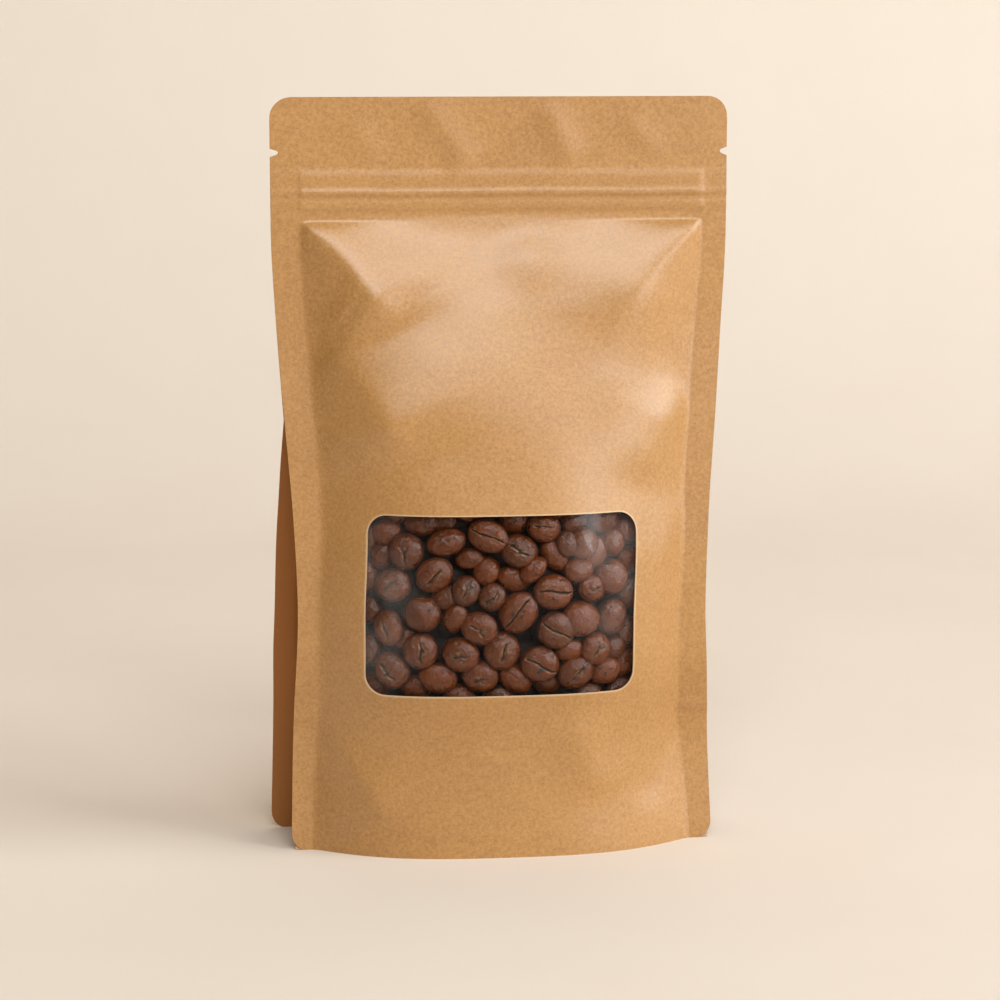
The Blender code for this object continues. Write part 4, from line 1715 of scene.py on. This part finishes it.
# A large key to the right, a strip beside it, a small front light, a high one and a low fill
SOFT_BOXES = (
    SoftBox("key", 65.0, 28.0, 2.2, 1.3, 1.6, 37.0),
    SoftBox("side", 84.0, 4.0, 2.2, 0.8, 1.2, 5.0),
    SoftBox("front", 33.0, 10.0, 2.0, 0.4, 0.3, 7.0, (1.0, 1.0, 1.0)),
    SoftBox("top", 2.0, 42.0, 2.2, 1.2, 0.9, 25.0),
    SoftBox("fill", -52.0, 12.0, 2.4, 1.2, 1.0, 0.7),
)


@dataclass
class Studio:
    """The paper sweep, the lights and the camera. Its sweep is in metres, the rest in mm."""

    middle: Vector
    sweep_back: float = 0.9
    sweep_radius: float = 0.5
    sweep_half: float = 3.0
    sweep_front: float = 2.2
    sweep_high: float = 2.5
    aim_high: float = 0.09
    air: str = "#FFE4C0"
    air_strength: float = 0.24
    camera_distance: float = 700.0
    camera_azimuth: float = -6.567
    camera_height: float = 199.8
    camera_tilt: float = 9.337
    focal_mm: float = 104.605
    sensor_mm: float = 36.0

    def sweep(self, finish: Material) -> None:
        """Lay the seamless floor and sweep it up behind the pouch.

        Args:
            finish: The paper.
        """
        pick()
        bpy.ops.mesh.primitive_plane_add(size=2.0)
        floor = bpy.context.object
        floor.name = floor.data.name = "paper_sweep"
        x, y, z = coordinates(floor).T
        far = np.where(y > 0, self.sweep_back, -self.sweep_front)
        move_to(floor, np.stack((x * self.sweep_half, far, z), axis=-1))
        self.choose_back_edge(floor)
        with editing(floor):
            up = {"value": (0.0, 0.0, self.sweep_high)}
            bpy.ops.mesh.extrude_region_move(TRANSFORM_OT_translate=up)
        self.choose_back_edge(floor)
        with editing(floor):
            bpy.ops.mesh.bevel(offset=self.sweep_radius, segments=32, affect="EDGES")
        smooth(floor, 180.0)
        floor.data.materials.append(finish)

    def choose_back_edge(self, floor: Object) -> None:
        """Select only the edge where the floor meets the rise behind the pouch.

        Args:
            floor: The sweep.
        """
        with editing(floor):
            bpy.ops.mesh.select_mode(type="EDGE")
            bpy.ops.mesh.select_all(action="DESELECT")
        for edge in floor.data.edges:
            ends = [floor.data.vertices[i].co for i in edge.vertices]
            edge.select = all(end.y > 0 and end.z < 0.001 for end in ends)

    def lights(self) -> None:
        """Hang the soft boxes round the pouch and light the air between them."""
        for box in SOFT_BOXES:
            box.build(Vector((0.0, 0.0, self.aim_high)))
        world = bpy.data.worlds.new("studio_air")
        world.use_nodes = True
        sky = world.node_tree.nodes["Background"]
        fill_inputs(world.node_tree, sky, {"Color": self.air, "Strength": self.air_strength})
        bpy.context.scene.world = world

    def camera(self) -> None:
        """Set the camera a little to the left of the front, looking down."""
        turn, tilt = math.radians(self.camera_azimuth), math.radians(self.camera_tilt)
        away = self.camera_distance
        stand = np.array((away * math.sin(turn), -away * math.cos(turn), self.camera_height))
        level = math.cos(tilt)
        look = Vector((-math.sin(turn) * level, math.cos(turn) * level, -math.sin(tilt)))
        data = bpy.data.cameras.new("camera")
        data.lens = self.focal_mm
        data.sensor_width = self.sensor_mm
        data.clip_start, data.clip_end = 0.01, 20.0
        camera = bpy.data.objects.new("camera", data)
        bpy.context.scene.collection.objects.link(camera)
        camera.location = Vector(to_row(stand, self.middle))
        camera.rotation_euler = look.to_track_quat("-Z", "Y").to_euler()
        bpy.context.scene.camera = camera

    def build(self, finish: Material) -> None:
        """Set up the whole studio, with plain colours as they are.

        Args:
            finish: The sweep's paper.
        """
        self.sweep(finish)
        self.lights()
        self.camera()
        bpy.context.scene.view_settings.view_transform = "Standard"


# ---- Putting it together ----

FRONT_FOLDS: tuple[Fold, ...] = (
    # The ridge from the shoulder's left corner, with a flat facet down to the seal outside it
    Crease(
        ((-48.5, 154.0), (-37.0, 143.5), (-26.5, 125.0)), 5.6, 26.0, 0.0, 1.8, fades=(4.0, 13.0)
    ),
    # The second facet, under a paler gable
    Crease(((-46.5, 123.5), (-34.5, 114.5), (-24.5, 94.0)), 4.8, 26.0, 0.0, 1.6, fades=(8.0, 14.0)),
    # The ridge from the shoulder's right corner
    Crease(((49.5, 154.0), (37.6, 141.0), (25.0, 112.0)), 5.6, 0.0, 30.0, 4.0, fades=(4.0, 28.0)),
    # The shelf that runs in from the right seal, and the facet under it
    Crease(((46.5, 106.0), (36.0, 107.0), (16.0, 113.0)), 2.2, 20.0, 8.0, 1.2, fades=(2.0, 22.0)),
    Crease(((46.0, 113.0), (39.0, 104.5), (31.0, 88.0)), 2.4, 0.0, 18.0, 1.0, fades=(5.0, 12.0)),
    Crease(((45.0, 86.0), (40.5, 77.0), (37.0, 66.0)), 1.2, 0.0, 8.0, 0.8, fades=(4.0, 8.0)),
    # A short soft ridge under the zip, with a valley to its left
    Crease(((2.0, 153.0), (6.5, 145.0), (10.5, 134.0)), 1.4, 13.0, 14.0, 3.0, fades=(9.0, 12.0)),
    Crease(((-6.0, 152.0), (-3.0, 142.0), (1.0, 130.0)), -0.5, 12.0, 12.0, 3.0, fades=(9.0, 10.0)),
    # Where the bottom web's seal ends, on both sides
    Crease(((-46.5, 33.0), (-35.5, 19.6), (-28.0, 7.0)), 2.6, 12.0, 0.0, 0.5, fades=(3.0, 8.0)),
    Crease(((47.5, 33.0), (40.0, 22.0), (33.0, 8.0)), -1.2, 10.0, 12.0, 0.8, fades=(2.0, 9.0)),
    Crease(((14.0, 36.0), (20.0, 24.0), (24.0, 12.0)), 1.5, 15.0, 12.0, 1.6, fades=(8.0, 8.0)),
    # What presses out from inside
    Dent(-15.0, 123.0, -1.5, 20.0, 17.0, -35),
    Dent(0.0, 23.0, -1.2, 32.0, 14.0),
    Dent(-14.0, 100.0, 0.35, 9.0, 7.0, 20),
    Dent(-18.0, 29.0, 0.35, 7.0, 6.0, 25),
)

FRONT_SEAL_FOLDS: tuple[Fold, ...] = (
    # The header, pressed flat but never quite even
    Crease(((-19.0, 182.0), (-13.0, 173.0), (-7.0, 165.0)), 0.6, 8.0, 5.5, 1.4, fades=(6.0, 4.0)),
    Crease(((-38.0, 178.0), (-33.0, 172.0), (-29.0, 166.0)), 0.3, 6.0, 5.0, 1.4, fades=(5.0, 4.0)),
    Crease(((11.0, 182.0), (14.0, 173.0), (19.0, 165.5)), 0.6, 7.0, 5.5, 1.4, fades=(5.0, 5.0)),
    Crease(((30.0, 179.0), (34.0, 173.0), (41.0, 169.0)), 0.28, 5.0, 4.0, 1.2, fades=(4.0, 5.0)),
    # Steps across both side seals at the top of the bottom web's seal
    Crease(((-53.0, 32.5), (-41.0, 33.5)), 0.45, 1.6, 1.6, 0.3, fades=(1.0, 3.0)),
    Crease(((53.0, 33.0), (42.0, 34.0)), 0.45, 1.6, 1.6, 0.3, fades=(1.0, 3.0)),
)

BACK_FOLDS: tuple[Fold, ...] = (
    Crease(((-48.5, 153.5), (-38.0, 137.0), (-27.0, 122.0)), 0.9, 16.0, 8.0, fades=(4.0, 12.0)),
    Crease(((48.5, 153.5), (36.0, 136.0), (28.0, 118.0)), 1.1, 8.0, 16.0, fades=(4.0, 12.0)),
    Crease(((47.0, 104.0), (36.0, 100.0), (25.0, 99.0)), 0.6, 7.0, 8.0),
    Crease(((-46.0, 33.0), (-36.0, 20.0), (-28.0, 8.0)), -0.5, 8.0, 3.0, fades=(4.0, 9.0)),
    Crease(((46.0, 33.0), (36.0, 20.0), (28.0, 8.0)), -0.5, 3.0, 8.0, fades=(4.0, 9.0)),
    Dent(6.0, 128.0, -0.4, 12.0, 8.0),
)


def main() -> None:
    """Build the pouch piece by piece."""
    logging.basicConfig(level=logging.INFO, format="%(name)s: %(message)s")
    low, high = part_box("zip_strip")
    middle = (low + high) / 2
    sizes = PouchSizes(height=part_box("front_panel")[1].z / MM)
    band = ZipBand()
    front_edges = (SWELL_FRONT, SEAL_FRONT, SPREAD_FRONT)
    back_edges = (SWELL_BACK, SEAL_BACK, SPREAD_BACK)
    front = WallForm(Side.FRONT, sizes, band, *front_edges, FRONT_FOLDS, FRONT_SEAL_FOLDS)
    back = WallForm(Side.BACK, sizes, band, *back_edges, BACK_FOLDS)
    Studio(middle).build(StudioPaper().build())
    kraft = KraftPaper().build()
    gusset = BottomGusset("bottom_gusset", middle, front, back)
    sheets = (
        KraftWall("front_panel", middle, front),
        KraftWall("back_panel", middle, back),
        gusset,
        SideWeb("side_web_left", middle, -1, gusset),
        SideWeb("side_web_right", middle, 1, gusset),
    )
    for sheet in sheets:
        sheet.dress(kraft)
    WindowFilm("window_film", middle, front).dress(ClearFilm().build(), "window_film")
    zip_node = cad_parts["zip_strip"]
    zip_node.data.materials.clear()
    zip_node.data.materials.append(ZipPlastic().build())
    LOG.info("zip_strip: the CAD solid, with its plastic")
    roast = RoastedBean().build()
    BeanHeap(front, middle).dress(roast)
    HeapCore(front, back, middle).dress(roast)


if __name__ == "__main__":
    main()
